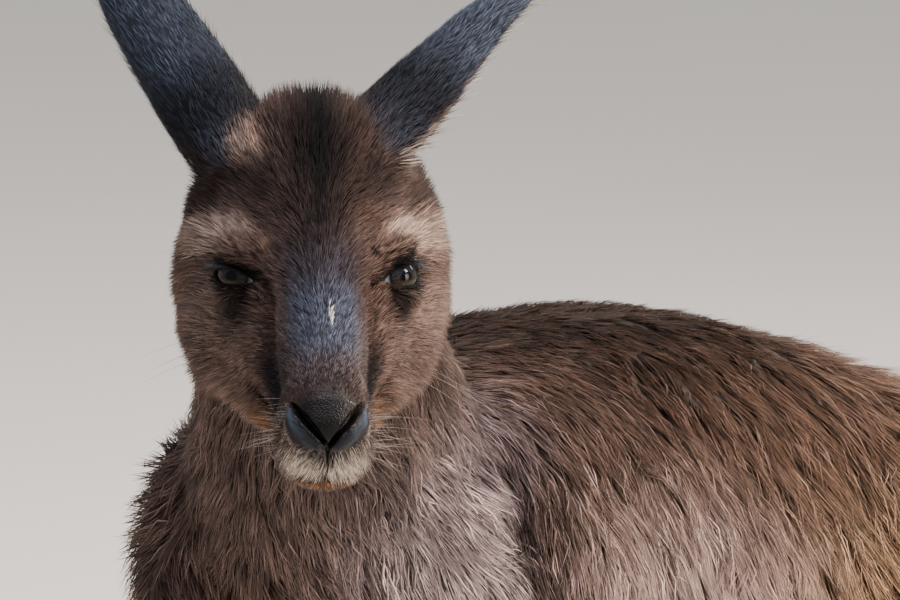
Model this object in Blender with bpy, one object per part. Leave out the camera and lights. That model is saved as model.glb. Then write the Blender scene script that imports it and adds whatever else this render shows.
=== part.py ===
"""A western grey kangaroo of the dark Kangaroo Island form, as a still, life-size museum model.

Metres, +Z up. It crouches at rest on forepaws, flat hind feet and tail. The trunk faces +X, the neck bends to
the animal's left, and the head looks round. The body is built whole, out to the tips of its coat, and is then
parted with thin cuts.
"""

import math

import bmesh
import bpy
import numpy as np
from mathutils import Matrix, Vector

# ---------------------------------------------------------------- driving dimensions
GAP = 0.0003  # between pieces that touch
SIDES = 28  # points round one ring of a loft
STEPS = 4  # rings laid between two stations
FAR = 0.30  # reach of a cutting block past the flesh it cuts

# Where the head is, and how it is turned
EYES = Vector((0.3955, 0.155, 0.555))  # the point midway between the eyes
HEAD_YAW, HEAD_PITCH, HEAD_ROLL = math.radians(44), math.radians(26), math.radians(-1)

# The spine bends to the left in front of BEND_FROM
BEND_FROM, BEND = -0.0485, 0.449
SHOULDER_X = 0.25

# Trunk: x, top, bottom, half width, height of the widest place, squareness of the back
TRUNK = (
    (-0.462, 0.215, 0.160, 0.020, 0.190, 2.0),
    (-0.440, 0.262, 0.125, 0.062, 0.195, 2.0),
    (-0.370, 0.332, 0.112, 0.106, 0.225, 2.0),
    (-0.260, 0.394, 0.105, 0.124, 0.255, 2.0),
    (-0.130, 0.448, 0.105, 0.124, 0.262, 2.1),
    (0.000, 0.481, 0.118, 0.127, 0.275, 2.2),
    (0.120, 0.490, 0.152, 0.123, 0.315, 2.4),
    (0.220, 0.482, 0.195, 0.110, 0.365, 2.6),
    (0.285, 0.466, 0.232, 0.096, 0.380, 2.7),
    (0.330, 0.425, 0.280, 0.066, 0.370, 2.3),
)
# Neck: x, y, z, half width, half depth
NECK = (
    (0.215, 0.025, 0.345, 0.092, 0.094),
    (0.255, 0.048, 0.405, 0.083, 0.088),
    (0.290, 0.069, 0.460, 0.068, 0.076),
    (0.320, 0.088, 0.512, 0.056, 0.063),
    (0.345, 0.105, 0.560, 0.047, 0.052),
)
# Head, in its own frame with the eyes at 0: forward, top, bottom, half width, height of the widest place,
# squareness above that place
HEAD = (
    (-0.0940, 0.012, -0.030, 0.0180, -0.010, 2.0),
    (-0.0850, 0.034, -0.052, 0.0420, -0.010, 2.0),
    (-0.0660, 0.049, -0.068, 0.0560, -0.016, 2.0),
    (-0.0450, 0.051, -0.076, 0.0610, -0.022, 1.9),
    (-0.0230, 0.044, -0.077, 0.0610, -0.026, 1.7),
    (0.0000, 0.034, -0.073, 0.0510, -0.027, 1.5),
    (0.0220, 0.026, -0.068, 0.0410, -0.026, 1.6),
    (0.0430, 0.019, -0.063, 0.0320, -0.025, 1.9),
    (0.0630, 0.013, -0.059, 0.0260, -0.024, 2.1),
    (0.0790, 0.008, -0.056, 0.0230, -0.024, 2.1),
    (0.0920, 0.002, -0.053, 0.0208, -0.024, 2.0),
    (0.1000, -0.006, -0.044, 0.0160, -0.023, 2.0),
    (0.1045, -0.014, -0.032, 0.0070, -0.022, 2.0),
)
JAW_SQUARE = 2.5  # squareness below it
CHEEK = ((-0.019, 0.037, -0.036), (0.040, 0.0215, 0.031))  # centre and radii of the chewing muscle
BROW = ((-0.009, 0.0310, 0.0165), (0.026, 0.0140, 0.0075))
NOSE = ((0.0945, 0.0, -0.017), (0.013, 0.0195, 0.014))
LIP = ((0.082, 0.010, -0.038), (0.017, 0.0135, 0.011))

EYE_RADIUS = 0.0135
EYE_SIDES, EYE_RINGS = 12, 8
EYE_PLACE = Vector((0.0000, 0.0320, -0.0025))  # centre of the left eye, in the head's frame

# Ears: base in the head's frame, direction of the tip, direction the opening faces
EAR_LENGTH = 0.112
EAR_WALL = 0.0034
EAR_COLUMNS = 9  # points across the shell
EAR_STEPS = 2  # rows laid between two stations
EAR_RIGHT = (Vector((-0.062, -0.0395, 0.032)), Vector((-0.60, -0.53, 0.62)), Vector((-0.72, 0.22, -0.55)))
EAR_LEFT = (Vector((-0.062, 0.033, 0.033)), Vector((-0.58, 0.76, 0.42)), Vector((0.14, 0.64, -0.74)))
# share of the length, half width, half of the arc that the shell fills in degrees
EAR = (
    (-0.14, 0.0205, 124),
    (0.15, 0.0215, 112),
    (0.40, 0.0205, 94),
    (0.65, 0.0190, 74),
    (0.85, 0.0135, 60),
    (1.00, 0.0030, 54),
)

# Forelimb, outward from the shoulder's own midline: x behind the shoulder, outward, z, half width, half depth
FORELIMB = (
    (-0.005, 0.056, 0.402, 0.042, 0.046),
    (-0.012, 0.068, 0.355, 0.039, 0.055),
    (-0.036, 0.080, 0.290, 0.037, 0.051),
    (-0.060, 0.089, 0.222, 0.033, 0.040),
    (-0.042, 0.094, 0.160, 0.028, 0.033),
    (-0.014, 0.095, 0.095, 0.0215, 0.025),
    (0.012, 0.095, 0.045, 0.0195, 0.021),
    (0.034, 0.096, 0.022, 0.0190, 0.018),
)
PALM = (0.042, 0.097, 0.0150)
PALM_RADII = (0.027, 0.023, 0.0165)
FINGERS = ((-42, 0.040), (-20, 0.048), (0, 0.051), (20, 0.048), (46, 0.038))  # spread in degrees, length
FINGER_RADIUS = 0.0074
FINGER_INSET = 0.010  # how far from the palm's middle a finger starts

# Hind limb: x, outward, z, half width, half height
THIGH = (
    (-0.425, 0.060, 0.225, 0.026, 0.036),
    (-0.395, 0.068, 0.236, 0.050, 0.068),
    (-0.320, 0.084, 0.245, 0.068, 0.102),
    (-0.225, 0.099, 0.245, 0.074, 0.116),
    (-0.130, 0.117, 0.240, 0.062, 0.102),
    (-0.050, 0.133, 0.228, 0.045, 0.076),
    (0.005, 0.142, 0.214, 0.034, 0.050),
    (0.032, 0.144, 0.206, 0.018, 0.026),
)
SHIN = (
    (0.036, 0.144, 0.204, 0.015, 0.018),
    (0.008, 0.145, 0.200, 0.032, 0.037),
    (-0.060, 0.148, 0.178, 0.040, 0.046),
    (-0.150, 0.148, 0.144, 0.037, 0.041),
    (-0.240, 0.143, 0.110, 0.029, 0.031),
    (-0.320, 0.137, 0.080, 0.024, 0.026),
    (-0.372, 0.134, 0.052, 0.024, 0.028),
)
FOOT = (
    (-0.402, 0.133, 0.030, 0.018, 0.026),
    (-0.380, 0.133, 0.030, 0.024, 0.031),
    (-0.320, 0.135, 0.026, 0.0245, 0.027),
    (-0.240, 0.138, 0.024, 0.0260, 0.025),
    (-0.180, 0.141, 0.022, 0.0280, 0.023),
    (-0.150, 0.142, 0.019, 0.0250, 0.020),
)
# Toes: sideways from the foot, where it starts, its length, radius, turned outward in degrees, claw length
TOES = {
    "fourth": (0.004, -0.175, 0.098, 0.0170, 2, 0.044),
    "fifth": (0.022, -0.180, 0.062, 0.0110, 9, 0.026),
    "second": (-0.0215, -0.170, 0.050, 0.0064, -6, 0.013),
    "third": (-0.0100, -0.170, 0.058, 0.0064, -2, 0.013),
}
FOOT_LINE = 0.1415  # outward place of the foot where the toes part

# Tail: x, y, z, half width, half height
TAIL = (
    (-0.370, 0.000, 0.235, 0.075, 0.085),
    (-0.440, 0.000, 0.175, 0.062, 0.074),
    (-0.510, -0.002, 0.112, 0.053, 0.062),
    (-0.590, -0.006, 0.062, 0.047, 0.052),
    (-0.690, -0.016, 0.043, 0.041, 0.043),
    (-0.810, -0.036, 0.036, 0.035, 0.036),
    (-0.930, -0.066, 0.030, 0.029, 0.030),
    (-1.050, -0.104, 0.025, 0.024, 0.025),
    (-1.150, -0.142, 0.019, 0.018, 0.019),
    (-1.205, -0.165, 0.010, 0.007, 0.010),
)
FLAT_DEPTH = 0.0015  # how much of each foot and of the tail is cut flat at the floor

# Claws: station along the length, share of the full radius
CLAW = ((0.0, 1.0), (0.35, 0.86), (0.7, 0.52), (1.0, 0.12))
CLAW_SIDES, CLAW_NARROW, CLAW_DROOP = 5, 0.72, 0.8
FORE_CLAW = (0.030, 0.0046, 0.010)  # length, radius, how far its root is buried
HIND_CLAW = (0.58, 0.9)  # radius and buried length, as shares of the toe's radius

# Cutting planes
TAIL_CUTS = {"tail_tip": (-1.020, -0.094), "tail_rear": (-0.820, -0.038), "tail_middle": (-0.620, -0.008)}
TAIL_STEP = Vector((-0.1, -0.022, 0))  # heading of the tail across those planes
TAIL_ROOT = (Vector((-0.432, 0, 0.186)), Vector((-0.532, 0, 0.098)))
NAPE = (Vector((-0.056, 0, -0.046)), math.radians(-47))  # place and tilt, in the head's frame
JAW_FROM, JAW_BELOW, NOSE_FROM, NOSE_ABOVE = 0.014, -0.0415, 0.0925, -0.0300
NECK_ROOT = (Vector((0.275, 0.060, 0.435)), Vector((0.325, 0.089, 0.517)))
# Forelimb: lowest and highest level, inner side and back of each block
FORELIMB_CUTS = {
    "forepaw": (-0.02, 0.052, 0.050, -0.125),
    "forearm": (0.04, 0.206, 0.048, -0.125),
    "upper_arm": (0.20, 0.402, 0.062, -0.112),
}
FOOT_INNER, FOOT_TOP, SHIN_LENGTH = 0.088, 0.056, 0.462
HAUNCH = (Vector((-0.33, 0, 0.350)), math.radians(11))
CHEST_FROM = 0.07

# Colours, linear, and roughness
COAT = ((0.075, 0.046, 0.034), 0.85)
EAR_COAT = ((0.026, 0.030, 0.040), 0.80)
WET_EYE = ((0.012, 0.008, 0.006), 0.08)
HORN = ((0.018, 0.016, 0.015), 0.35)
SHARP = math.radians(50)  # edges sharper than this stay crisp

# Faces left by each decimation
BODY_FACES, HEAD_FACES, PAW_FACES, FOOT_FACES = 2420, 1760, 480, 1120
BODY_VOXEL, HEAD_VOXEL, PAW_VOXEL = 0.006, 0.0035, 0.0026


# ---------------------------------------------------------------- frames
def clear_scene():
    for thing in list(bpy.data.objects):
        bpy.data.objects.remove(thing, do_unlink=True)


def head_frame():
    turn = (
        Matrix.Rotation(HEAD_YAW, 4, "Z")
        @ Matrix.Rotation(HEAD_PITCH, 4, "Y")
        @ Matrix.Rotation(HEAD_ROLL, 4, "X")
    )
    return Matrix.Translation(EYES) @ turn


def midline(x):
    """Sideways place of the spine above x, and its heading."""
    past = max(0.0, x - BEND_FROM)
    return BEND * past * past, math.atan(2 * BEND * past)


def shoulder_frame():
    """X runs along the spine at the shoulders, with its origin on the floor below them."""
    y, heading = midline(SHOULDER_X)
    return Matrix.Translation((SHOULDER_X, y, 0)) @ Matrix.Rotation(heading, 4, "Z")


# ---------------------------------------------------------------- lofts
def spread(stations, steps):
    """Lays smooth rows from each station to the next."""
    rows = np.array(stations, float)
    padded = np.vstack((2 * rows[0] - rows[1], rows, 2 * rows[-1] - rows[-2]))
    out = []
    for a, b, c, d in zip(padded, padded[1:], padded[2:], padded[3:]):
        for t in np.arange(steps) / steps:
            bend = 2 * a - 5 * b + 4 * c - d
            turn = 3 * b - a - 3 * c + d
            out.append(b + 0.5 * t * ((c - a) + t * (bend + t * turn)))
    return [*out, rows[-1]]


def oval(centre, side, up, width, above, below, square_top=2.0, square_low=2.0):
    """One ring: a superellipse with its own height above and below the centre."""
    points = []
    for i in range(SIDES):
        angle = math.tau * i / SIDES
        across, rise = math.cos(angle), math.sin(angle)
        power, height = (square_top, above) if rise > 0 else (square_low, below)
        x = math.copysign(abs(across) ** (2 / power), across) * width
        y = math.copysign(abs(rise) ** (2 / power), rise) * height
        points.append(centre + side * x + up * y)
    return points


def solid(name, vertices, faces):
    """A new object from points and faces, with its faces turned outward."""
    mesh = bpy.data.meshes.new(name)
    mesh.from_pydata([tuple(v) for v in vertices], [], faces)
    work = bmesh.new()
    work.from_mesh(mesh)
    bmesh.ops.recalc_face_normals(work, faces=work.faces)
    work.to_mesh(mesh)
    work.free()
    thing = bpy.data.objects.new(name, mesh)
    bpy.context.collection.objects.link(thing)
    return thing


def loft(name, rings):
    """A closed tube through rings of equal length, with a fan over each end."""
    count = len(rings[0])
    points = [p for ring in rings for p in ring]
    faces = []
    for r in range(len(rings) - 1):
        for i in range(count):
            j = (i + 1) % count
            faces.append((r * count + i, r * count + j, (r + 1) * count + j, (r + 1) * count + i))
    for r in (0, len(rings) - 1):
        points.append(sum(rings[r], Vector()) / count)
        for i in range(count):
            faces.append((r * count + i, r * count + (i + 1) % count, len(points) - 1))
    return solid(name, points, faces)


def tube(name, stations, frame=None):
    """A loft along a bent path. Each station is x, y, z, half width and half height."""
    rows = spread(stations, STEPS)
    centres = [Vector(row[:3]) for row in rows]
    rings = []
    for i, row in enumerate(rows):
        ahead = (centres[min(i + 1, len(rows) - 1)] - centres[max(i - 1, 0)]).normalized()
        side = (Vector((0, 1, 0)) - ahead * ahead.y).normalized()
        rings.append(oval(centres[i], side, ahead.cross(side), row[3], row[4], row[4]))
    thing = loft(name, rings)
    if frame:
        thing.data.transform(frame)
    return thing


def ellipsoid(name, centre, radii, frame=None):
    mesh = bpy.data.meshes.new(name)
    work = bmesh.new()
    bmesh.ops.create_uvsphere(work, u_segments=24, v_segments=14, radius=1.0)
    bmesh.ops.transform(work, matrix=Matrix.LocRotScale(centre, None, Vector(radii)), verts=work.verts)
    work.to_mesh(mesh)
    work.free()
    thing = bpy.data.objects.new(name, mesh)
    bpy.context.collection.objects.link(thing)
    if frame:
        thing.data.transform(frame)
    return thing


# ---------------------------------------------------------------- joining and cutting
def settle(thing):
    """Turns an object's modifiers into plain geometry."""
    graph = bpy.context.evaluated_depsgraph_get()
    mesh = bpy.data.meshes.new_from_object(thing.evaluated_get(graph))
    thing.modifiers.clear()
    thing.data = mesh


def drop(*things):
    for thing in things:
        bpy.data.objects.remove(thing, do_unlink=True)


def fuse(name, things, voxel, rounds, faces):
    """One smooth skin round overlapping solids, with about this many faces. The solids stay."""
    work = bmesh.new()
    for thing in things:
        work.from_mesh(thing.data)
    mesh = bpy.data.meshes.new(name)
    work.to_mesh(mesh)
    work.free()
    whole = bpy.data.objects.new(name, mesh)
    bpy.context.collection.objects.link(whole)
    remesh = whole.modifiers.new("one skin", "REMESH")
    remesh.mode = "VOXEL"
    remesh.voxel_size = voxel
    settle(whole)
    smooth = whole.modifiers.new("rounded", "SMOOTH")
    smooth.factor = 0.5
    smooth.iterations = rounds
    settle(whole)
    lighter = whole.modifiers.new("lighter", "DECIMATE")
    lighter.ratio = faces / (2 * len(whole.data.polygons))
    lighter.use_collapse_triangulate = True
    settle(whole)
    return whole


def boolean(thing, other, operation):
    cut = thing.modifiers.new(operation.lower(), "BOOLEAN")
    cut.operation = operation
    cut.solver = "EXACT"
    cut.object = other
    settle(thing)


def keep_largest(thing):
    """Removes the crumbs that a cut leaves beside the piece."""
    work = bmesh.new()
    work.from_mesh(thing.data)
    bmesh.ops.remove_doubles(work, verts=work.verts, dist=0.00001)
    bmesh.ops.dissolve_degenerate(work, edges=work.edges, dist=0.00001)
    loose, islands = set(work.verts), []
    while loose:
        island, edge = set(), [loose.pop()]
        while edge:
            vert = edge.pop()
            island.add(vert)
            near = [e.other_vert(vert) for e in vert.link_edges]
            fresh = [v for v in near if v in loose]
            loose.difference_update(fresh)
            edge.extend(fresh)
        islands.append(island)
    islands.sort(key=len)
    for island in islands[:-1]:
        bmesh.ops.delete(work, geom=list(island), context="VERTS")
    bmesh.ops.triangulate(work, faces=work.faces)
    work.to_mesh(thing.data)
    work.free()


def block(low, high, frame=None):
    """A box between two corners of a frame."""
    xs, ys, zs = zip(low, high)
    points = [Vector((x, y, z)) for x in xs for y in ys for z in zs]
    faces = [(0, 1, 3, 2), (4, 6, 7, 5), (0, 4, 5, 1), (2, 3, 7, 6), (0, 2, 6, 4), (1, 5, 7, 3)]
    thing = solid("block", points, faces)
    if frame:
        thing.data.transform(frame)
    return thing


def grown(low, high, by):
    return [v - by for v in low], [v + by for v in high]


def carve(body, name, low, high, frame=None, finer=None):
    """Takes what lies in a block out of body, as a piece of its own, with a gap between.

    The piece comes from finer, a skin of the same flesh with smaller faces, where there is one.
    """
    source = finer or body
    piece = bpy.data.objects.new(name, source.data.copy())
    bpy.context.collection.objects.link(piece)
    inner = block(low, high, frame)
    boolean(piece, inner, "INTERSECT")
    outer = block(*grown(low, high, GAP), frame)
    boolean(body, outer, "DIFFERENCE")
    drop(inner, outer)
    keep_largest(piece)
    return piece


def along(start, end):
    """A frame at start whose X axis points to end, with Z as near to up as it can be."""
    x = (end - start).normalized()
    y = Vector((0, 0, 1)).cross(x).normalized()
    turn = Matrix((x, y, x.cross(y))).transposed().to_4x4()
    return Matrix.Translation(start) @ turn


def sideways(stations, side):
    """The stations of a limb, mirrored for the right side."""
    return [(row[0], side * row[1], *row[2:]) for row in stations]


def finish(thing, colour, roughness):
    """Gives a piece its own material and smooth shading over its round faces."""
    material = bpy.data.materials.new(thing.name)
    material.use_nodes = True
    shader = material.node_tree.nodes["Principled BSDF"]
    shader.inputs["Base Color"].default_value = (*colour, 1)
    shader.inputs["Roughness"].default_value = roughness
    shader.inputs["Metallic"].default_value = 0
    thing.data.materials.clear()
    thing.data.materials.append(material)
    thing.data.shade_smooth()
    thing.data.set_sharp_from_angle(angle=SHARP)


# ---------------------------------------------------------------- flesh
def trunk_flesh():
    rings = []
    for x, top, bottom, width, level, square in spread(TRUNK, STEPS):
        y, heading = midline(x)
        side = Vector((-math.sin(heading), math.cos(heading), 0))
        centre = Vector((x, y, level))
        rings.append(oval(centre, side, Vector((0, 0, 1)), width, top - level, level - bottom, square, 2.2))
    return loft("trunk flesh", rings)


def head_flesh():
    frame = head_frame()
    rings = []
    side, up = Vector((0, 1, 0)), Vector((0, 0, 1))
    for forward, top, bottom, width, level, square in spread(HEAD, STEPS):
        centre = Vector((forward, 0, level))
        rings.append(oval(centre, side, up, width, top - level, level - bottom, square, JAW_SQUARE))
    skull = loft("skull flesh", rings)
    skull.data.transform(frame)
    lumps = [skull, ellipsoid("nose flesh", *NOSE, frame)]
    for side in (1, -1):
        for name, (centre, radii) in {"cheek": CHEEK, "brow": BROW, "lip": LIP}.items():
            place = (centre[0], side * centre[1], centre[2])
            lumps.append(ellipsoid(f"{name} flesh", place, radii, frame))
    return lumps


def forelimb_flesh(side):
    frame = shoulder_frame()
    return tube("forelimb flesh", sideways(FORELIMB, side), frame)


def finger_line(side, turn, length):
    """Start and tip of a finger on the floor, in the shoulders' frame."""
    angle = side * math.radians(turn)
    start = Vector((PALM[0], side * PALM[1], FINGER_RADIUS))
    reach = Vector((math.cos(angle), math.sin(angle), 0))
    return start + reach * FINGER_INSET, start + reach * (FINGER_INSET + length)


def paw_flesh(side):
    frame = shoulder_frame()
    lumps = [ellipsoid("palm", (PALM[0], side * PALM[1], PALM[2]), PALM_RADII, frame)]
    for turn, length in FINGERS:
        start, tip = finger_line(side, turn, length)
        knuckle = start.lerp(tip, 0.5) + Vector((0, 0, 0.003))
        r = FINGER_RADIUS
        rows = [(*start, r, r), (*knuckle, r * 1.1, r * 1.1), (*tip, r * 0.85, r * 0.85)]
        lumps.append(tube("finger", rows, frame))
    return lumps


def toe_line(side, sideway, start, length, radius, turn):
    angle = side * math.radians(turn)
    root = Vector((start, side * (FOOT_LINE + sideway), radius))
    return root, root + Vector((math.cos(angle), math.sin(angle), 0)) * length


def foot_flesh(side):
    lumps = [tube("foot flesh", sideways(FOOT, side))]
    for sideway, start, length, radius, turn, _ in TOES.values():
        root, tip = toe_line(side, sideway, start, length, radius, turn)
        knuckle = root.lerp(tip, 0.55) + Vector((0, 0, 0.1 * radius))
        rows = [(*root, radius, radius), (*knuckle, radius * 0.95, radius * 0.95)]
        lumps.append(tube("toe flesh", [*rows, (*tip, radius * 0.8, radius * 0.85)]))
    return lumps


def hind_flesh(side):
    return [tube("thigh flesh", sideways(THIGH, side)), tube("shin flesh", sideways(SHIN, side))]


# ---------------------------------------------------------------- ears, eyes and claws
def ear(name, place, frame):
    """A shell rolled round the ear's axis, open on one side, with its foot inside the head."""
    base, axis, opening = (v.copy() for v in place)
    axis.normalize()
    opening = (opening - axis * opening.dot(axis)).normalized()
    side = axis.cross(opening)
    columns = EAR_COLUMNS
    outer, inner = [], []
    for share, width, arc in spread(EAR, EAR_STEPS):
        half = math.radians(arc)
        radius = width / math.sin(min(half, math.pi / 2))
        wall = min(EAR_WALL, 0.45 * radius)
        centre = base + axis * (EAR_LENGTH * share) + opening * (radius - width)
        for i in range(columns):
            angle = half * (2 * i / (columns - 1) - 1)
            reach = side * math.sin(angle) - opening * math.cos(angle)
            outer.append(centre + reach * radius)
            inner.append(centre + reach * (radius - wall))
    rows, n = len(outer) // columns, len(outer)
    faces = []
    for r in range(rows - 1):
        for i in range(columns - 1):
            a, b = r * columns + i, (r + 1) * columns + i
            faces += [(a, a + 1, b + 1, b), (n + a, n + b, n + b + 1, n + a + 1)]
        for edge in (r * columns, r * columns + columns - 1):
            faces.append((edge, edge + columns, n + edge + columns, n + edge))
    for r in (0, (rows - 1) * columns):
        faces += [(r + i, r + i + 1, n + r + i + 1, n + r + i) for i in range(columns - 1)]
    shell = solid(name, outer + inner, faces)
    shell.data.transform(frame)
    return shell


def eye(name, side, frame):
    place = Vector((EYE_PLACE.x, side * EYE_PLACE.y, EYE_PLACE.z))
    mesh = bpy.data.meshes.new(name)
    work = bmesh.new()
    bmesh.ops.create_uvsphere(work, u_segments=EYE_SIDES, v_segments=EYE_RINGS, radius=EYE_RADIUS)
    work.to_mesh(mesh)
    work.free()
    mesh.transform(frame @ Matrix.Translation(place))
    ball = bpy.data.objects.new(name, mesh)
    bpy.context.collection.objects.link(ball)
    return ball


def claw(name, root, ahead, length, radius, frame=None):
    """A curved horn that leaves its toe level and bends down to the floor."""
    side = Vector((-ahead.y, ahead.x, 0))
    rings = []
    for share, size in CLAW:
        droop = CLAW_DROOP * (root.z - 0.5 * radius) * share * share
        centre = root + ahead * (length * share) - Vector((0, 0, droop))
        ring = []
        for i in range(CLAW_SIDES):
            angle = math.tau * i / CLAW_SIDES
            high = Vector((0, 0, math.sin(angle) * radius * size))
            ring.append(centre + side * (math.cos(angle) * CLAW_NARROW * radius * size) + high)
        rings.append(ring)
    thing = loft(name, rings)
    if frame:
        thing.data.transform(frame)
    return thing


def inflated(thing, by):
    """A copy of thing with every face pushed out."""
    copy = bpy.data.objects.new("inflated", thing.data.copy())
    bpy.context.collection.objects.link(copy)
    push = copy.modifiers.new("pushed out", "DISPLACE")
    push.strength = by
    push.mid_level = 0
    settle(copy)
    return copy


def fitted(thing, against):
    """Cuts thing back to GAP from a piece that it grows out of."""
    wall = inflated(against, GAP)
    boolean(thing, wall, "DIFFERENCE")
    drop(wall)
    keep_largest(thing)
    return thing


# ---------------------------------------------------------------- parting the body
def between(side, inner, outer):
    """The Y limits of a block on one side of the body."""
    return sorted((side * inner, side * outer))


def part_tail(body):
    """Four lengths, taken from the tip forward, each with all that is left past its own plane."""
    pieces = []
    for name, (x, y) in TAIL_CUTS.items():
        start = Vector((x, y, 0.03))
        pieces.append(carve(body, name, (0, -FAR, -0.1), (0.5, FAR, 0.1), along(start, start + TAIL_STEP)))
    pieces.append(carve(body, "tail_base", (0, -0.09, -0.16), (0.4, 0.09, 0.20), along(*TAIL_ROOT)))
    return pieces


def part_head(body, skull):
    """Head, lower jaw and nose, above a plane that runs from the nape to the throat."""
    frame = head_frame()
    place, tilt = NAPE
    nape = frame @ Matrix.Translation(place) @ Matrix.Rotation(tilt, 4, "Y")
    head = carve(body, "head", (0, -0.12, -0.14), (0.26, 0.12, 0.15), nape, skull)
    jaw = carve(head, "lower_jaw", (JAW_FROM, -0.06, -0.11), (0.14, 0.06, JAW_BELOW), frame)
    nose = carve(head, "nose", (NOSE_FROM, -0.04, NOSE_ABOVE), (0.14, 0.04, 0.02), frame)
    return head, jaw, nose


def part_neck(body):
    return carve(body, "neck", (0, -0.13, -0.16), (0.25, 0.13, 0.16), along(*NECK_ROOT))


def part_forelimb(body, side, word, fine):
    """Paw, forearm and upper arm, from the floor up."""
    frame = shoulder_frame()
    pieces = []
    for name, (low, high, inner, back) in FORELIMB_CUTS.items():
        near, far = between(side, inner, 0.25)
        source = fine if name == "forepaw" else None
        pieces.append(carve(body, f"{name}_{word}", (back, near, low), (0.14, far, high), frame, source))
    return pieces


def part_hind_limb(body, side, word, fine):
    """Foot, shin and thigh, from the floor up."""
    near, far = between(side, FOOT_INNER, 0.25)
    foot = carve(body, f"foot_{word}", (-0.46, near, -0.02), (0.02, far, FOOT_TOP), None, fine)
    ankle, knee = (Vector((row[0], side * row[1], row[2])) for row in (SHIN[-1], SHIN[0]))
    shin_near, shin_far = between(side, -0.036, 0.12)
    low, high = (-0.07, shin_near, -0.09), (SHIN_LENGTH, shin_far, 0.040)
    shin = carve(body, f"shin_{word}", low, high, along(ankle, knee))
    place, tilt = HAUNCH
    haunch = Matrix.Translation(place) @ Matrix.Rotation(tilt, 4, "Y")
    thigh_near, thigh_far = between(side, 0.090, 0.30)
    thigh = carve(body, f"thigh_{word}", (-0.13, thigh_near, -0.26), (0.42, thigh_far, 0.0), haunch)
    return [foot, shin, thigh]


def fore_claws(paw, side, word):
    frame = shoulder_frame()
    claw_length, radius, buried = FORE_CLAW
    pieces = []
    for number, (turn, length) in enumerate(FINGERS, start=1):
        start, tip = finger_line(side, turn, length)
        ahead = (tip - start).normalized()
        root = tip - ahead * buried
        horn = claw(f"claw_forepaw_{word}_{number}", root, ahead, claw_length, radius, frame)
        pieces.append(fitted(horn, paw))
    return pieces


def hind_claws(foot, side, word):
    size, depth = HIND_CLAW
    pieces = []
    for name, (sideway, start, length, radius, turn, horn_length) in TOES.items():
        root, tip = toe_line(side, sideway, start, length, radius, turn)
        ahead = (tip - root).normalized()
        buried = depth * radius
        start = tip - ahead * buried
        horn = claw(f"claw_{name}_toe_{word}", start, ahead, horn_length + buried, radius * size)
        pieces.append(fitted(horn, foot))
    return pieces


def socket(head, ball):
    """Hollows the head round an eyeball."""
    room = inflated(ball, GAP)
    boolean(head, room, "DIFFERENCE")
    drop(room)
    keep_largest(head)


def place_on_floor(pieces):
    """Moves the model so that its flats are at Z 0 and its box is centred on the origin."""
    corners = np.array([v.co[:] for piece in pieces for v in piece.data.vertices])
    middle = (corners.min(axis=0) + corners.max(axis=0)) / 2
    shift = Matrix.Translation((-middle[0], -middle[1], -FLAT_DEPTH))
    for piece in pieces:
        piece.data.transform(shift)


def main():
    clear_scene()
    floor = block((-2, -1, -0.5), (1, 1, FLAT_DEPTH))
    head_lumps = head_flesh()
    neck = tube("neck flesh", NECK)
    tail = tube("tail flesh", TAIL)
    forelimbs = {side: forelimb_flesh(side) for side in (1, -1)}
    paws = {side: paw_flesh(side) for side in (1, -1)}
    hinds = {side: hind_flesh(side) for side in (1, -1)}
    feet = {side: foot_flesh(side) for side in (1, -1)}
    limbs = [lump for side in (1, -1) for lump in (forelimbs[side], *paws[side], *hinds[side], *feet[side])]
    flesh = [trunk_flesh(), neck, tail, *head_lumps, *limbs]

    body = fuse("abdomen", flesh, BODY_VOXEL, 12, BODY_FACES)
    skull = fuse("skull", [*head_lumps, neck], HEAD_VOXEL, 10, HEAD_FACES)
    boolean(body, floor, "DIFFERENCE")
    pieces = part_tail(body)
    head, jaw, nose = part_head(body, skull)
    pieces += [head, jaw, nose, part_neck(body)]
    horns = []
    for side, word in ((1, "left"), (-1, "right")):
        hand = fuse("hand", [forelimbs[side], *paws[side]], PAW_VOXEL, 5, PAW_FACES)
        sole = fuse("sole", [*hinds[side], *feet[side]], PAW_VOXEL, 5, FOOT_FACES)
        for fine in (hand, sole):
            boolean(fine, floor, "DIFFERENCE")
        arm = part_forelimb(body, side, word, hand)
        leg = part_hind_limb(body, side, word, sole)
        horns += fore_claws(arm[0], side, word) + hind_claws(leg[0], side, word)
        pieces += arm + leg
        drop(hand, sole)
    keep_largest(body)
    pieces += [carve(body, "chest", (CHEST_FROM, -FAR, 0), (0.6, FAR, 0.7)), body]
    keep_largest(body)

    frame = head_frame()
    eyes = [eye("eye_left", 1, frame), eye("eye_right", -1, frame)]
    for ball in eyes:
        socket(head, ball)
    ears = [ear("ear_left", EAR_LEFT, frame), ear("ear_right", EAR_RIGHT, frame)]
    for shell in ears:
        fitted(shell, head)

    drop(*flesh, skull, floor)
    place_on_floor([*pieces, *eyes, *ears, *horns])
    for piece in pieces:
        finish(piece, *COAT)
    for shell in ears:
        finish(shell, *EAR_COAT)
    for ball in eyes:
        finish(ball, *WET_EYE)
    for horn in horns:
        finish(horn, *HORN)


main()
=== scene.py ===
"""Coat, skin, eyes and claws for a western grey kangaroo of the dark Kangaroo Island form.

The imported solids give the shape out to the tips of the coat. One skin is drawn inside them, with lids,
nostrils and lips, and the coat is laid over it in small tufts that follow the lie of the hair.
"""

import math

import bmesh
import bpy
import numpy as np
from mathutils import Matrix, Vector
from mathutils.bvhtree import BVHTree
from mathutils.kdtree import KDTree


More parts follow.
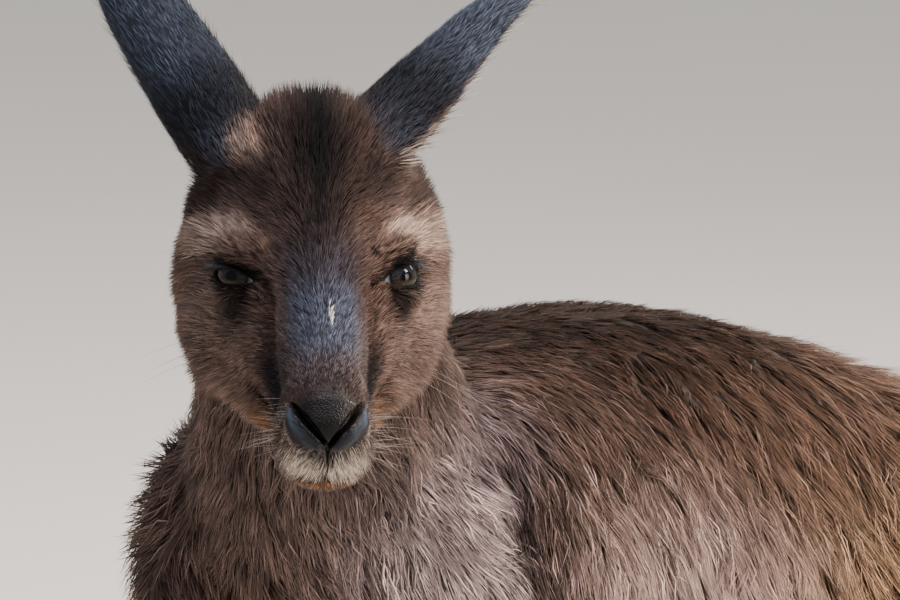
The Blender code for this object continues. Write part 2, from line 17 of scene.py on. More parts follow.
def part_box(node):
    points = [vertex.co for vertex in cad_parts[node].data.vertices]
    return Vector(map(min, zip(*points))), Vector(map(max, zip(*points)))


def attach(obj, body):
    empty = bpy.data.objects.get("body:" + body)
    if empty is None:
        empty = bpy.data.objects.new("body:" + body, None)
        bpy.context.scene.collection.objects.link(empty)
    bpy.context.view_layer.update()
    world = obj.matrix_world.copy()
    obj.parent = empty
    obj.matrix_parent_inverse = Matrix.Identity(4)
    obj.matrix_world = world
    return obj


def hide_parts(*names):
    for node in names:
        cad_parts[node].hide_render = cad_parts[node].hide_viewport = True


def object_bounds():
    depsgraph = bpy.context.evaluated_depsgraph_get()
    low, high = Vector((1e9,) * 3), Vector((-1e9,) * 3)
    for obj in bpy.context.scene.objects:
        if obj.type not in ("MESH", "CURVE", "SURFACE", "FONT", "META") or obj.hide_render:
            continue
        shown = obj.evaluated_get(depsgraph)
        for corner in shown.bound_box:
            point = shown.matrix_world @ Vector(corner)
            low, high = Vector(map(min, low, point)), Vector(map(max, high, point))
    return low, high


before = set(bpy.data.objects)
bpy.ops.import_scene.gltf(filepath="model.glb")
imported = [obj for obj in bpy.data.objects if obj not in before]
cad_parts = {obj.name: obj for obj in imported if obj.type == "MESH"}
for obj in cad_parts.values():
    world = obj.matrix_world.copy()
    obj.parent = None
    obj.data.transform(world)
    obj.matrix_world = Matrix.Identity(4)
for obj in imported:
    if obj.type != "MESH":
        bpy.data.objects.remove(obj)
CAD_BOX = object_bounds()

bl_info = {
    "name": "Kangaroo Model",
    "version": (1, 0, 0),
    "blender": (4, 5, 0),
    "location": "View3D > Sidebar > Kangaroo",
    "description": "Dresses the solids of a resting kangaroo in skin and coat",
    "category": "Object",
}

SIDES = {"left": 1, "right": -1}  # and the sign of Y there


def pairs(*parts):
    return tuple(f"{part}_{word}" for part in parts for word in SIDES)


FACE = ("head", "lower_jaw", "nose")
EARS = pairs("ear")
TAIL = ("tail_base", "tail_middle", "tail_rear", "tail_tip")
LIMBS = pairs("upper_arm", "forearm", "forepaw", "thigh", "shin", "foot")
FLESH = (*FACE, *EARS, "neck", "chest", "abdomen", *LIMBS, *TAIL)


# ---------------------------------------------------------------- frames and small helpers
def linear(hex_code):
    """An sRGB hex colour as linear red, green and blue."""
    parts = [int(hex_code[i : i + 2], 16) / 255 for i in (1, 3, 5)]
    return tuple(c / 12.92 if c <= 0.04045 else ((c + 0.055) / 1.055) ** 2.4 for c in parts)


def middle(node):
    low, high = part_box(node)
    return (low + high) / 2


def head_frame():
    """From between the eyes, X points forward along the muzzle, Y to the animal's left and Z up."""
    turn = Matrix()
    for axis, angle in (("Z", 44), ("Y", 26), ("X", -1)):
        turn = turn @ Matrix.Rotation(math.radians(angle), 4, axis)
    between_eyes = (middle("eye_left") + middle("eye_right")) / 2
    return Matrix.Translation(between_eyes + turn @ Vector((0, 0, 0.0025))) @ turn


HEAD = head_frame()
TO_HEAD = HEAD.inverted()
EYE_RADIUS = 0.0135


def read(items, key, width, kind=np.float32):
    """One property of all the items of a mesh, as rows of numbers."""
    flat = np.empty(len(items) * width, kind)
    items.foreach_get(key, flat)
    return flat.reshape(-1, width)


def coords(mesh):
    return read(mesh.vertices, "co", 3).astype(float)


def normals(mesh):
    return read(mesh.vertices, "normal", 3).astype(float)


def triangles(mesh):
    mesh.calc_loop_triangles()
    return read(mesh.loop_triangles, "vertices", 3, np.int32)


def set_coords(mesh, points):
    mesh.vertices.foreach_set("co", np.ascontiguousarray(points, np.float32).ravel())
    mesh.update()


FIELDS = {"FLOAT": ("value", 1), "FLOAT_VECTOR": ("vector", 3), "FLOAT_COLOR": ("color", 4)}


def store(mesh, name, kind, values):
    layer = mesh.attributes.new(name, kind, "POINT")
    layer.data.foreach_set(FIELDS[kind][0], np.ascontiguousarray(values, np.float32).ravel())


def store_colour(mesh, name, colour):
    store(mesh, name, "FLOAT_COLOR", np.column_stack((colour, np.ones(len(colour)))))


def stored(mesh, name):
    layer = mesh.attributes[name]
    return np.squeeze(read(layer.data, *FIELDS[layer.data_type]).astype(float))


def moved(points, matrix):
    m = np.array(matrix)
    return points @ m[:3, :3].T + m[:3, 3]


def turned(vectors, matrix):
    return vectors @ np.array(matrix)[:3, :3].T


def unit(vectors):
    return vectors / np.maximum(np.linalg.norm(vectors, axis=-1, keepdims=True), 1e-9)


def smooth_step(low, high, x):
    t = np.clip((x - low) / (high - low), 0, 1)
    return t * t * (3 - 2 * t)


def mix(a, b, share):
    return a * (1 - share) + b * share


def over(colour, tint, amount):
    """Rows of colour with a tint laid over each by its own amount."""
    return mix(colour, np.array(linear(tint) if isinstance(tint, str) else tint), amount[:, None])


def only(thing):
    """Selects one object alone and makes it the active one."""
    bpy.ops.object.select_all(action="DESELECT")
    thing.select_set(True)
    bpy.context.view_layer.objects.active = thing


def apply(thing, kind, **settings):
    """Adds a modifier to a thing, sets it and applies it."""
    only(thing)
    modifier = thing.modifiers.new(kind.lower(), kind)
    for key, value in settings.items():
        setattr(modifier, key, value)
    bpy.ops.object.modifier_apply(modifier=modifier.name)


def placed(name, mesh):
    """A new object in the scene with this mesh."""
    thing = bpy.data.objects.new(name, mesh)
    bpy.context.scene.collection.objects.link(thing)
    return thing


def flesh_copy(name, nodes):
    """These solids as one mesh object, with the doubled points of each merged."""
    work = bmesh.new()
    for node in nodes:
        work.from_mesh(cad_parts[node].data)
    bmesh.ops.remove_doubles(work, verts=work.verts, dist=0.00002)
    mesh = bpy.data.meshes.new(name)
    work.to_mesh(mesh)
    work.free()
    return placed(name, mesh)


def spread_out(values, edges, rounds):
    """Smooths values over a mesh by passing them along its edges."""
    a, b = edges.T
    count = len(values)
    degree = np.maximum(np.bincount(a, minlength=count) + np.bincount(b, minlength=count), 1)[:, None]
    for _ in range(rounds):
        total = [np.bincount(a, v[b], count) + np.bincount(b, v[a], count) for v in values.T]
        values = 0.5 * values + 0.5 * np.stack(total, axis=1) / degree
    return values


def noise_at(points, size, seed):
    """Smooth noise from -1 to 1 with features of about this size: a few waves in random directions."""
    random = np.random.default_rng(seed)
    total = np.zeros(len(points))
    for _ in range(9):
        wave = random.normal(size=3)
        wave *= (2 * math.pi / size) * random.uniform(0.6, 1.3) / np.linalg.norm(wave)
        total += np.sin(points @ wave + random.uniform(0, 2 * math.pi))
    return total / 3.0


def folded(points):
    """The points with those of the right side mirrored onto the left."""
    return np.column_stack((points[:, 0], np.abs(points[:, 1]), points[:, 2]))


def blob(points, centre, radii):
    """1 inside an ellipsoid and the one mirrored from it, 0 outside, with a soft edge."""
    away = np.linalg.norm((folded(points) - centre) / radii, axis=1)
    return 1 - smooth_step(0.45, 1.25, away)


def off_path(points, path):
    """How far points are from a path and the one mirrored from it, in its half widths."""
    points = folded(points)
    nearest = np.full(len(points), 1e9)
    for start, end in zip(np.array(path), np.array(path)[1:]):
        run = end[:3] - start[:3]
        t = np.clip((points - start[:3]) @ run / (run @ run), 0, 1)
        half = start[3] + t * (end[3] - start[3])
        away = np.linalg.norm(points - start[:3] - t[:, None] * run, axis=1)
        nearest = np.minimum(nearest, away / half)
    return nearest


def points_tree(points):
    """A tree of these points, for finding the nearest."""
    tree = KDTree(len(points))
    for i, point in enumerate(points):
        tree.insert(point, i)
    tree.balance()
    return tree


# ---------------------------------------------------------------- lie, length and colour of the coat
# Solid: coat depth, hair length and tuft width in millimetres, lift in degrees, tufts for each square
# centimetre, colour, and the way the hair runs. Left and right share a row, with Y outward.
COAT = {
    "head": (3.0, 8.0, 0.60, 19, 130, "#5e4a41", (-0.7, 0.0, -0.5)),
    "lower_jaw": (2.4, 7.5, 0.60, 20, 110, "#7a6557", (-1.0, 0.0, -0.3)),
    "nose": (0.5, 3.0, 0.45, 14, 160, "#4a4145", (-1.0, 0.0, 0.3)),
    # Painted sheen: the near-black ear hair is coloured blue-grey for the sky's sheen on it
    "ear": (0.6, 6.0, 0.50, 12, 110, "#4b5261", (0.0, 0.0, 1.0)),
    "neck": (8.0, 19.0, 0.84, 15, 38, "#75615a", (-0.50, -0.20, -0.84)),
    "chest": (11.0, 25.0, 0.92, 15, 29, "#725c53", (-0.45, 0.0, -0.90)),
    "abdomen": (11.0, 33.0, 0.98, 15, 20, "#876a5a", (-0.08, 0.40, -0.95)),
    "upper_arm": (8.0, 21.0, 1.00, 15, 24, "#6b574c", (-0.20, 0.0, -1.0)),
    "forearm": (4.0, 11.0, 0.95, 13, 26, "#443730", (0.30, 0.05, -0.95)),
    "forepaw": (1.1, 5.0, 0.60, 14, 60, "#1f1a18", (0.85, 0.15, -0.50)),
    "thigh": (9.5, 23.0, 1.15, 14, 15, "#8c6f5b", (-0.50, 0.0, -0.87)),
    "shin": (4.5, 13.0, 1.10, 12, 17, "#50403a", (-0.92, 0.0, -0.38)),
    "foot": (1.6, 7.0, 0.80, 16, 50, "#211b19", (1.0, 0.0, -0.1)),
    "tail_base": (7.5, 19.0, 1.25, 13, 17, "#5e4839", (-0.78, 0.0, -0.62)),
    "tail_middle": (5.0, 13.0, 1.10, 12, 20, "#4b3a31", (-0.98, -0.12, -0.12)),
    "tail_rear": (4.0, 12.0, 1.00, 12, 22, "#392c27", (-0.96, -0.26, -0.06)),
    "tail_tip": (3.0, 12.0, 0.95, 12, 26, "#201916", (-0.92, -0.36, -0.12)),
}
# Columns of the table that spreads these rows over the skin, the last three with the share that is each part
DEPTH, LENGTH, WIDTH, LIFT, DENSITY = range(5)
COLOUR, LIE = slice(5, 8), slice(8, 11)
ON_HEAD, ON_TRUNK, ON_EARS = 11, 12, 13

# In the head's frame: from base to tip, and the way the ear opens
EAR_AXIS = {"ear_right": (-0.60, -0.53, 0.62), "ear_left": (-0.58, 0.76, 0.42)}
EAR_OPENING = {"ear_right": (-0.72, 0.22, -0.55), "ear_left": (0.14, 0.64, -0.74)}

# Markings of the head, with painted shade and sheen among them, the same on both sides: colour, centre and
# radii in the head's frame, strength
HEAD_MARKINGS = (
    ("nape", "#33281f", (-0.085, 0.000, 0.010), (0.040, 0.070, 0.060), 1.0),
    ("forehead", "#3b2d27", (-0.030, 0.000, 0.045), (0.060, 0.040, 0.026), 0.95),
    ("stripe of the crown", "#130d0b", (-0.030, 0.000, 0.045), (0.055, 0.0140, 0.028), 0.95),
    ("ear roots", "#0b0808", (-0.070, 0.047, 0.042), (0.030, 0.029, 0.028), 0.97),
    ("ear bases", "#0b0808", (-0.081, 0.061, 0.053), (0.016, 0.016, 0.016), 0.85),
    ("cheek", "#7f695f", (0.005, 0.050, -0.030), (0.045, 0.030, 0.032), 1.0),
    ("jowl", "#665046", (-0.020, 0.055, -0.055), (0.050, 0.035, 0.026), 0.9),
    ("temple", "#3a2d28", (-0.045, 0.052, 0.014), (0.032, 0.022, 0.026), 0.9),
    ("upper brow", "#2e2420", (-0.022, 0.036, 0.034), (0.018, 0.026, 0.0090), 0.8),
    # Painted sheen: the bridge's dark short hair is coloured blue-grey for the sky's sheen on it
    ("bridge", "#4f5260", (0.050, 0.000, 0.010), (0.038, 0.0230, 0.030), 1.0),
    ("root of the bridge", "#3a3238", (0.022, 0.000, 0.024), (0.022, 0.022, 0.018), 0.8),
    ("between the brows", "#2a201d", (0.004, 0.000, 0.034), (0.026, 0.014, 0.018), 0.85),
    # Painted shade: dark where the muzzle's side turns away into the gap before the cheek
    ("painted shade on the muzzle side", "#30262a", (0.062, 0.0240, -0.014), (0.034, 0.0080, 0.014), 0.85),
    ("muzzle", "#6b5244", (0.060, 0.027, -0.042), (0.028, 0.014, 0.012), 0.9),
    ("corner of the mouth", "#8f5f35", (0.052, 0.024, -0.045), (0.012, 0.010, 0.007), 0.8),
    ("tear patch", "#1c1413", (0.015, 0.035, -0.009), (0.010, 0.008, 0.017), 0.95),
    ("top of the nose", "#4a3f40", (0.080, 0.000, 0.001), (0.013, 0.020, 0.012), 0.9),
    ("lips", "#c8b9ab", (0.100, 0.0075, -0.0275), (0.013, 0.0145, 0.0092), 1.0),
    ("chin", "#5f4d44", (0.080, 0.000, -0.056), (0.030, 0.020, 0.012), 0.9),
    ("lower lip", "#9a6236", (0.096, 0.000, -0.0425), (0.012, 0.015, 0.0026), 0.95),
)
# Bands of the head, one of them painted shade, on both sides: colour, points with their half widths in the
# head's frame, strength
HEAD_BANDS = (
    ("brow", "#b39a8b", ((-0.001, 0.029, 0.0220, 0.004), (-0.005, 0.039, 0.0200, 0.010),
                         (-0.018, 0.049, 0.0090, 0.010), (-0.034, 0.055, -0.0010, 0.008)), 0.92),
    # Painted shade: the near-black line in the groove beside the muzzle
    ("painted shade in the crease beside the muzzle", "#120c0d", ((0.022, 0.0260, 0.0000, 0.004), (0.046, 0.0265, -0.0180, 0.0075),
                                             (0.069, 0.0250, -0.0290, 0.0075)), 1.0),
    ("parting of the crown", "#060404", ((-0.080, 0.0000, 0.0500, 0.0042), (-0.058, 0.0000, 0.0500, 0.0042),
                                         (-0.040, 0.0000, 0.0488, 0.0040), (-0.012, 0.0000, 0.0380, 0.0036),
                                         (0.004, 0.0000, 0.0318, 0.0028)), 1.0),
    ("tear line", "#120d0d", ((0.012, 0.0300, 0.0050, 0.0022), (0.024, 0.0240, 0.0020, 0.0018)), 0.9),
    ("rim of the nose", "#b39f8d", ((0.0850, 0.0200, -0.0070, 0.0016), (0.0925, 0.0205, -0.0150, 0.0018),
                                    (0.1000, 0.0170, -0.0200, 0.0020)), 0.9),
)  # fmt: skip
# A pale tuft, by the right ear only
EAR_TUFT = ("#a88b7a", (-0.044, 0.029, 0.040), (0.014, 0.011, 0.012))
# Places on the head with longer or more upright hair: centre, radii, millimetres of length, degrees of lift
RUFFLED = (
    ("crown", (-0.058, 0.000, 0.048), (0.030, 0.034, 0.022), 15.0, 44.0),
    ("jowl", (-0.015, 0.052, -0.055), (0.040, 0.030, 0.030), 15.0, 30.0),
    ("cheek", (-0.020, 0.060, -0.020), (0.030, 0.020, 0.035), 11.0, 26.0),
    ("brow", (-0.010, 0.042, 0.016), (0.024, 0.022, 0.014), 8.0, 24.0),
    ("temple", (-0.030, 0.054, 0.022), (0.030, 0.020, 0.030), 10.0, 36.0),
    ("jaw", (0.030, 0.034, -0.052), (0.042, 0.026, 0.022), 13.0, 36.0),
    ("lips", (0.099, 0.008, -0.028), (0.016, 0.022, 0.012), 7.0, 30.0),
)
# Markings of the trunk, with painted light and shade among them, the same on both sides: colour, centre and
# radii along X, outward and up, strength
TRUNK_MARKINGS = (
    ("back", "#291911", (0.36, 0.00, 0.51), (0.34, 0.12, 0.090), 0.95),
    # Painted light: flank, side of the chest and shoulder are golden and mauve-grey hair painted much paler
    # where sun falls, chest and shoulder also bluer as a painted sky sheen
    ("flank", "#e6bd97", (0.27, 0.14, 0.29), (0.20, 0.10, 0.120), 0.95),
    ("side of the chest", "#ecccc3", (0.46, 0.12, 0.325), (0.150, 0.07, 0.105), 0.92),
    ("shoulder", "#dbc3c4", (0.635, 0.11, 0.370), (0.070, 0.08, 0.100), 0.85),
    ("side of the neck", "#917f83", (0.600, 0.08, 0.450), (0.060, 0.05, 0.030), 0.8),
    ("belly", "#9b8879", (0.25, 0.00, 0.11), (0.40, 0.09, 0.07), 0.9),
    # Painted shadow: the throat under the chin is darkened for the chin's shadow
    ("throat in painted chin shadow", "#6f5a52", (0.72, 0.02, 0.30), (0.08, 0.12, 0.12), 0.7),
)
# Painted shadow: the near-black band along this path is the shade between the upper arm and the trunk; the
# same path also sets the coat shorter and deeper there
ARM_FOLD = ((0.590, 0.103, 0.445, 0.009), (0.580, 0.118, 0.406, 0.019),
            (0.566, 0.123, 0.365, 0.022), (0.548, 0.123, 0.310, 0.019))  # fmt: skip
TRUNK_BANDS = (("painted shadow behind the upper arm", "#0d0908", ARM_FOLD, 0.82),)
TRUNK_MIDDLE = -0.03  # Y of the backbone, because the body bends


def solid_under(points):
    """For each point, the number of the solid in FLESH that is nearest to it."""
    corners, faces, owner = [], [], []
    for number, node in enumerate(FLESH):
        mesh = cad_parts[node].data
        first = len(corners)
        corners.extend(v.co[:] for v in mesh.vertices)
        for face in mesh.polygons:
            faces.append([first + i for i in face.vertices])
            owner.append(number)
    tree = BVHTree.FromPolygons(corners, faces)
    return np.array([owner[tree.find_nearest(p)[2]] for p in points])


def of_solids(owner, nodes):
    return np.isin(owner, [FLESH.index(node) for node in nodes])


def head_lie(points):
    """The way the hair runs on the head, in its own frame."""
    lie = np.tile((-1.0, 0.0, -0.15), (len(points), 1))
    side = np.sign(points[:, 1])
    outward = np.abs(points[:, 1])
    cheek = smooth_step(0.018, 0.045, outward) * (1 - smooth_step(-0.005, 0.015, points[:, 2]))
    lie[:, 2] -= 0.75 * cheek
    brow = blob(points, (-0.004, 0.034, 0.018), (0.030, 0.030, 0.022))
    lie[:, 1] += side * 1.3 * brow
    lie[:, 2] += 0.25 * brow
    lip = blob(points, (0.100, 0.008, -0.030), (0.018, 0.024, 0.016))
    whole = np.ones(len(points))
    lie += lip[:, None] * np.stack((1.3 * whole, side * 0.7, -1.6 * whole), axis=1)
    return lie


def coat_table(points, local):
    """The columns of the coat at each point, and the number of its solid; local is in the head's frame."""
    owner = solid_under(points)
    table = np.zeros((len(points), 11))
    for number, node in enumerate(FLESH):
        *sizes, colour, lie = COAT[node.removesuffix("_left").removesuffix("_right")]
        lie = np.array(lie) * (1, -1 if node.endswith("right") else 1, 1)
        if node in EARS:
            lie = turned(np.array([EAR_AXIS[node]]), HEAD)[0]
        table[owner == number] = (*sizes, *linear(colour), *unit(lie))
    on_head = of_solids(owner, FACE)
    table[on_head, LIE] = unit(turned(head_lie(local[on_head]), HEAD))

    # on the sides of the chest and belly the hair hangs steeply down, and along the back it runs to the tail
    trunk = of_solids(owner, ("abdomen", "chest"))
    outward = points[:, 1] - TRUNK_MIDDLE
    whole = np.ones(len(points))
    hanging = np.stack((0.22 * whole, 0.28 * np.sign(outward), -0.93 * whole), axis=1)
    swept = np.stack((-0.85 * whole, 0.45 * np.clip(outward / 0.04, -1, 1), -0.30 * whole), axis=1)
    at_side = trunk * smooth_step(0.12, 0.34, points[:, 0]) * (1 - smooth_step(0.57, 0.64, points[:, 0]))
    on_back = trunk * (1 - smooth_step(0.02, 0.075, np.abs(outward))) * smooth_step(0.30, 0.36, points[:, 2])
    for share, lie in ((at_side, hanging), (on_back, swept)):
        table[:, LIE] = mix(table[:, LIE], lie, share[:, None])
    return table, owner


def lay_markings(colour, points, share, markings):
    for _, tint, centre, radii, strength in markings:
        colour = over(colour, tint, blob(points, centre, radii) * strength * share)
    return colour


def lay_bands(colour, points, share, bands, solid, edge):
    """Bands are whole out to solid half widths from their paths, and gone at edge half widths."""
    for name, tint, path, strength in bands:
        if name == "brow":
            strength = strength * (0.80 + 0.24 * noise_at(points, 0.008, 19))
        colour = over(colour, tint, (1 - smooth_step(solid, edge, off_path(points, path))) * strength * share)
    return colour


def painted(table, points, local):
    """The colour of the coat with the markings of trunk and head, painted light and shade among them, laid
    over it.
    """
    trunk, head = table[:, ON_TRUNK], table[:, ON_HEAD] + table[:, ON_EARS]
    colour = lay_markings(table[:, COLOUR], points, trunk, TRUNK_MARKINGS)
    colour = lay_bands(colour, points, trunk, TRUNK_BANDS, 0.5, 1.4)
    colour = lay_markings(colour, local, head, HEAD_MARKINGS)
    tint, centre, radii = EAR_TUFT
    tuft = blob(local, centre, radii) * (local[:, 1] < 0) * head
    colour = over(colour, tint, tuft * (0.55 + 0.30 * noise_at(local, 0.009, 17)))
    return lay_bands(colour, local, head, HEAD_BANDS, 0.4, 1.3)


# ---------------------------------------------------------------- lids, nose and mouth
INNER_CORNER, OUTER_CORNER = 58.0, 50.0  # of the lids, in degrees from the middle of the opening
LID_HEIGHTS = {1: (20.0, 19.0), -1: (11.0, 17.0)}  # of the upper and lower lid; the right eye is more hooded
LID_THICKNESS = 0.0012

# Points and half widths in the head's frame
NOSTRIL = ((0.0868, 0.0160, -0.0074, 0.0014), (0.0925, 0.0137, -0.0070, 0.0023),
           (0.0980, 0.0106, -0.0075, 0.0027), (0.1025, 0.0066, -0.0100, 0.0025),
           (0.1052, 0.0030, -0.0134, 0.0018), (0.1063, 0.0004, -0.0170, 0.0013))  # fmt: skip
WING = ((0.0870, 0.0185, -0.0088, 0.0025), (0.0950, 0.0170, -0.0115, 0.0038),
        (0.1010, 0.0110, -0.0140, 0.0040), (0.1050, 0.0045, -0.0175, 0.0025))  # fmt: skip
CLEFT = ((0.1063, 0.0, -0.0170, 0.0016), (0.1040, 0.0, -0.0270, 0.0013), (0.1010, 0.0, -0.0370, 0.0012))
CREASE = ((0.0200, 0.0225, 0.0060, 0.006), (0.0460, 0.0245, -0.0115, 0.011), (0.0690, 0.0245, -0.0220, 0.012))
HOOD = ((0.006, 0.026, 0.0155, 0.006), (0.001, 0.038, 0.0150, 0.007), (-0.012, 0.048, 0.0080, 0.006))
SCAR = ((0.0465, 0.0022, 0.0157, 0.0005), (0.0520, 0.0022, 0.0143, 0.0011), (0.0590, 0.0024, 0.0124, 0.0004))
MOUTH_LEVEL = -0.0382


def eye_axes(side):
    """An eyeball's centre, gaze, line between the corners of its lids, and up, in the head's frame."""
    centre = np.array((0.0, side * 0.032, -0.0025))
    gaze = unit(np.array((0.48, side * 0.70, 0.53)))
    along = np.array((-0.70, side * 0.66, -0.27))
    along = unit(along - gaze * (along @ gaze))
    return centre, gaze, along, np.cross(gaze, along) * side


def upper_lid(across, corner, side):
    """Height in degrees of the upper lid above the line between the corners."""
    return LID_HEIGHTS[side][0] * np.clip(1 - (across / corner) ** 2, 0, 1) ** 0.55


def lid_distance(points, side):
    """Degrees that points lie outside the opening of the lids, their distance from the centre, and rise."""
    centre, gaze, along, up = eye_axes(side)
    ray = points - centre
    reach = np.linalg.norm(ray, axis=1)
    ray = ray / reach[:, None]
    across = np.degrees(np.arctan2(ray @ along, ray @ gaze))
    rise = np.degrees(np.arcsin(np.clip(ray @ up, -1, 1)))
    corner = np.where(across > 0, OUTER_CORNER, INNER_CORNER)
    lower = LID_HEIGHTS[side][1] * np.clip(1 - (across / corner) ** 2, 0, 1) ** 0.9
    edge = np.where(rise > 0, upper_lid(across, corner, side), lower)
    beyond = np.hypot(np.maximum(np.abs(across) - corner, 0), rise)
    return np.where(np.abs(across) < corner, np.abs(rise) - edge, beyond), reach, rise


def nose_pad(points):
    """1 on the bare leather of the nose, 0 on the hair round it."""
    across = points[:, 1] / 0.0195
    rise = (points[:, 2] + 0.0085) / 0.0108
    away = np.sqrt(across**2 + np.minimum(rise, 0) ** 2) + 0.05 * noise_at(points, 0.006, 31)
    return (1 - smooth_step(0.88, 1.02, away)) * smooth_step(0.082, 0.094, points[:, 0])


def groove(local, path, depth=1.0):
    """How deep a groove along a path lies below each point."""
    return depth * (1 - smooth_step(0.35, 1.0, off_path(local, path)))


def mouth(local, solid, edge):
    """1 on the line between the lips, which turns up towards its corners, and 0 from edge metres off it."""
    turned_up = 0.10 * np.maximum(0.055 - local[:, 0], 0)
    gap = np.abs(local[:, 2] - MOUTH_LEVEL - turned_up - 6.0 * local[:, 1] ** 2)
    return smooth_step(0.030, 0.045, local[:, 0]) * (1 - smooth_step(solid, edge, gap))


def shape_face(local, outward):
    """Moves points of the head, in its own frame, into lids, nostrils, cleft and mouth."""
    outside = np.abs(local[:, 1])
    squeeze = smooth_step(0.010, 0.020, outside) * (1 - smooth_step(0.026, 0.040, outside))
    squeeze *= smooth_step(0.008, 0.030, local[:, 0]) * (1 - smooth_step(0.070, 0.084, local[:, 0]))
    local = local * np.column_stack((np.ones(len(local)), 1 - 0.20 * squeeze, np.ones(len(local))))
    push = -groove(local, NOSTRIL, 0.0050) + groove(local, WING, 0.0011) - groove(local, CLEFT, 0.0018)
    push -= 0.0018 * blob(local, (0.083, 0.0210, -0.010), (0.006, 0.006, 0.013))
    push -= groove(local, CREASE, 0.0030)
    push += groove(local, HOOD, 0.0034)
    push -= 0.0024 * mouth(local, 0.0003, 0.0013)
    local = local + outward * push[:, None]
    for side in SIDES.values():
        centre = eye_axes(side)[0]
        away, reach, rise = lid_distance(local, side)
        fold = 0.0009 * np.exp(-(((away - 18) / 7) ** 2)) - 0.0008 * np.exp(-(((away - 9) / 2.5) ** 2))
        lid = EYE_RADIUS + LID_THICKNESS + np.where(rise > 0, fold, 0.4 * fold)
        outer = np.maximum(reach, lid) + 0.0004 * np.exp(-(((reach - lid) / LID_THICKNESS) ** 2))
        target = mix(EYE_RADIUS - 0.003, outer, smooth_step(-3.0, 0.0, away))
        ray = (local - centre) / reach[:, None]
        local = np.where((reach < 0.030)[:, None], centre + ray * target[:, None], local)
    return local


# ---------------------------------------------------------------- skin
SKIN_GAP = 0.0003  # between the skin and the box round the solids


def finer(thing, chosen, cuts):
    """Subdivides the faces whose points are all chosen."""
    work = bmesh.new()
    work.from_mesh(thing.data)
    work.verts.ensure_lookup_table()
    edges = [e for e in work.edges if chosen[e.verts[0].index] and chosen[e.verts[1].index]]
    bmesh.ops.subdivide_edges(work, edges=edges, cuts=cuts, use_grid_fill=True, smooth=0.0)
    bmesh.ops.triangulate(work, faces=work.faces)
    work.to_mesh(thing.data)
    work.free()


def rough_skin(sizes):
    """One closed surface round all the flesh solids, finest on the face and coarser on the body."""
    skin = flesh_copy("skin", (*FLESH, *pairs("eye")))
    apply(skin, "DISPLACE", strength=0.0004, mid_level=0.0)
    apply(skin, "REMESH", mode="VOXEL", voxel_size=sizes.voxel)
    apply(skin, "SMOOTH", factor=0.5, iterations=8)
    local = moved(coords(skin.data), TO_HEAD)
    on_head = np.linalg.norm(local - (-0.03, 0, 0.02), axis=1) < 0.15
    skin.vertex_groups.new(name="fine").add([int(i) for i in np.nonzero(on_head)[0]], 1.0, "REPLACE")
    spared = {"vertex_group": "fine", "invert_vertex_group": True, "vertex_group_factor": 100.0}
    apply(skin, "DECIMATE", ratio=sizes.kept, **spared)
    skin.vertex_groups.clear()

    local = moved(coords(skin.data), TO_HEAD)
    around_eyes = np.zeros(len(local), bool)
    for side in SIDES.values():
        centre, gaze = eye_axes(side)[:2]
        around_eyes |= np.linalg.norm(local - centre - gaze * 0.010, axis=1) < 0.0190
    at_nose = (local[:, 0] > 0.074) & (np.abs(local[:, 1]) < 0.05) & (np.abs(local[:, 2]) < 0.08)
    finer(skin, around_eyes | at_nose, 3)
    return skin


def spread_table(points, local, edges):
    """The columns of the coat, run into each other over the skin, and the number of each point's solid."""
    table, owner = coat_table(points, local)
    trunk = ("abdomen", "chest", "neck", *pairs("upper_arm", "thigh"))
    shares = [of_solids(owner, nodes).astype(float) for nodes in (FACE, trunk, EARS)]
    table = np.column_stack((table, *shares))
    on_face = smooth_step(0.17, 0.13, np.linalg.norm(local - (-0.02, 0, 0.0), axis=1))[:, None]
    table = mix(spread_out(table, edges, 70), spread_out(table, edges, 6), on_face)

    # the coat thins towards the nose and thickens behind the cheeks
    head, trunk = table[:, ON_HEAD], table[:, ON_TRUNK]
    forward = smooth_step(-0.02, 0.085, local[:, 0]) * head
    table[:, DEPTH] *= 1 - 0.72 * forward
    table[:, LENGTH] *= 1 - 0.60 * forward
    table[:, LENGTH] *= 1 + 0.45 * (1 - smooth_step(-0.10, -0.03, local[:, 0])) * head
    for _, centre, radii, length, lift in RUFFLED:
        share = blob(local, centre, radii) * head
        table[:, LENGTH] = mix(table[:, LENGTH], length, share)
        table[:, LIFT] = mix(table[:, LIFT], lift, share)
    table[:, DEPTH] += 4.0 * blob(local, (-0.030, 0.056, 0.026), (0.032, 0.022, 0.022)) * head
    # it is shorter along the back, and shorter and deeper set in the fold behind the arm
    back = blob(points, (0.36, 0.0, 0.52), (0.36, 0.14, 0.12)) * trunk
    fold = (1 - smooth_step(0.4, 1.3, off_path(points, ARM_FOLD))) * trunk
    table[:, LENGTH] *= (1 - 0.45 * back) * (1 - 0.45 * fold)
    table[:, LIFT] *= 1 - 0.40 * back
    table[:, DEPTH] += 9.0 * fold
    return table, owner


def sink(skin, depth, edges):
    """Draws the skin in by the depth of the coat and shapes the face; gives points in the head's frame."""
    mesh = skin.data
    facing = unit(spread_out(normals(mesh), edges, 3))
    set_coords(mesh, coords(mesh) - facing * (depth * 0.001)[:, None])
    apply(skin, "SMOOTH", factor=0.4, iterations=3)
    local = moved(coords(mesh), TO_HEAD)
    outward = turned(unit(spread_out(normals(mesh), edges, 8)), TO_HEAD)
    on_face = (local[:, 0] > -0.045) & (np.abs(local[:, 1]) < 0.07) & (np.abs(local[:, 2]) < 0.09)
    local = np.where(on_face[:, None], shape_face(local, outward), local)
    low, high = (np.array(corner) for corner in CAD_BOX)
    set_coords(mesh, np.clip(moved(local, HEAD), low + SKIN_GAP, high - SKIN_GAP))
    return local, on_face


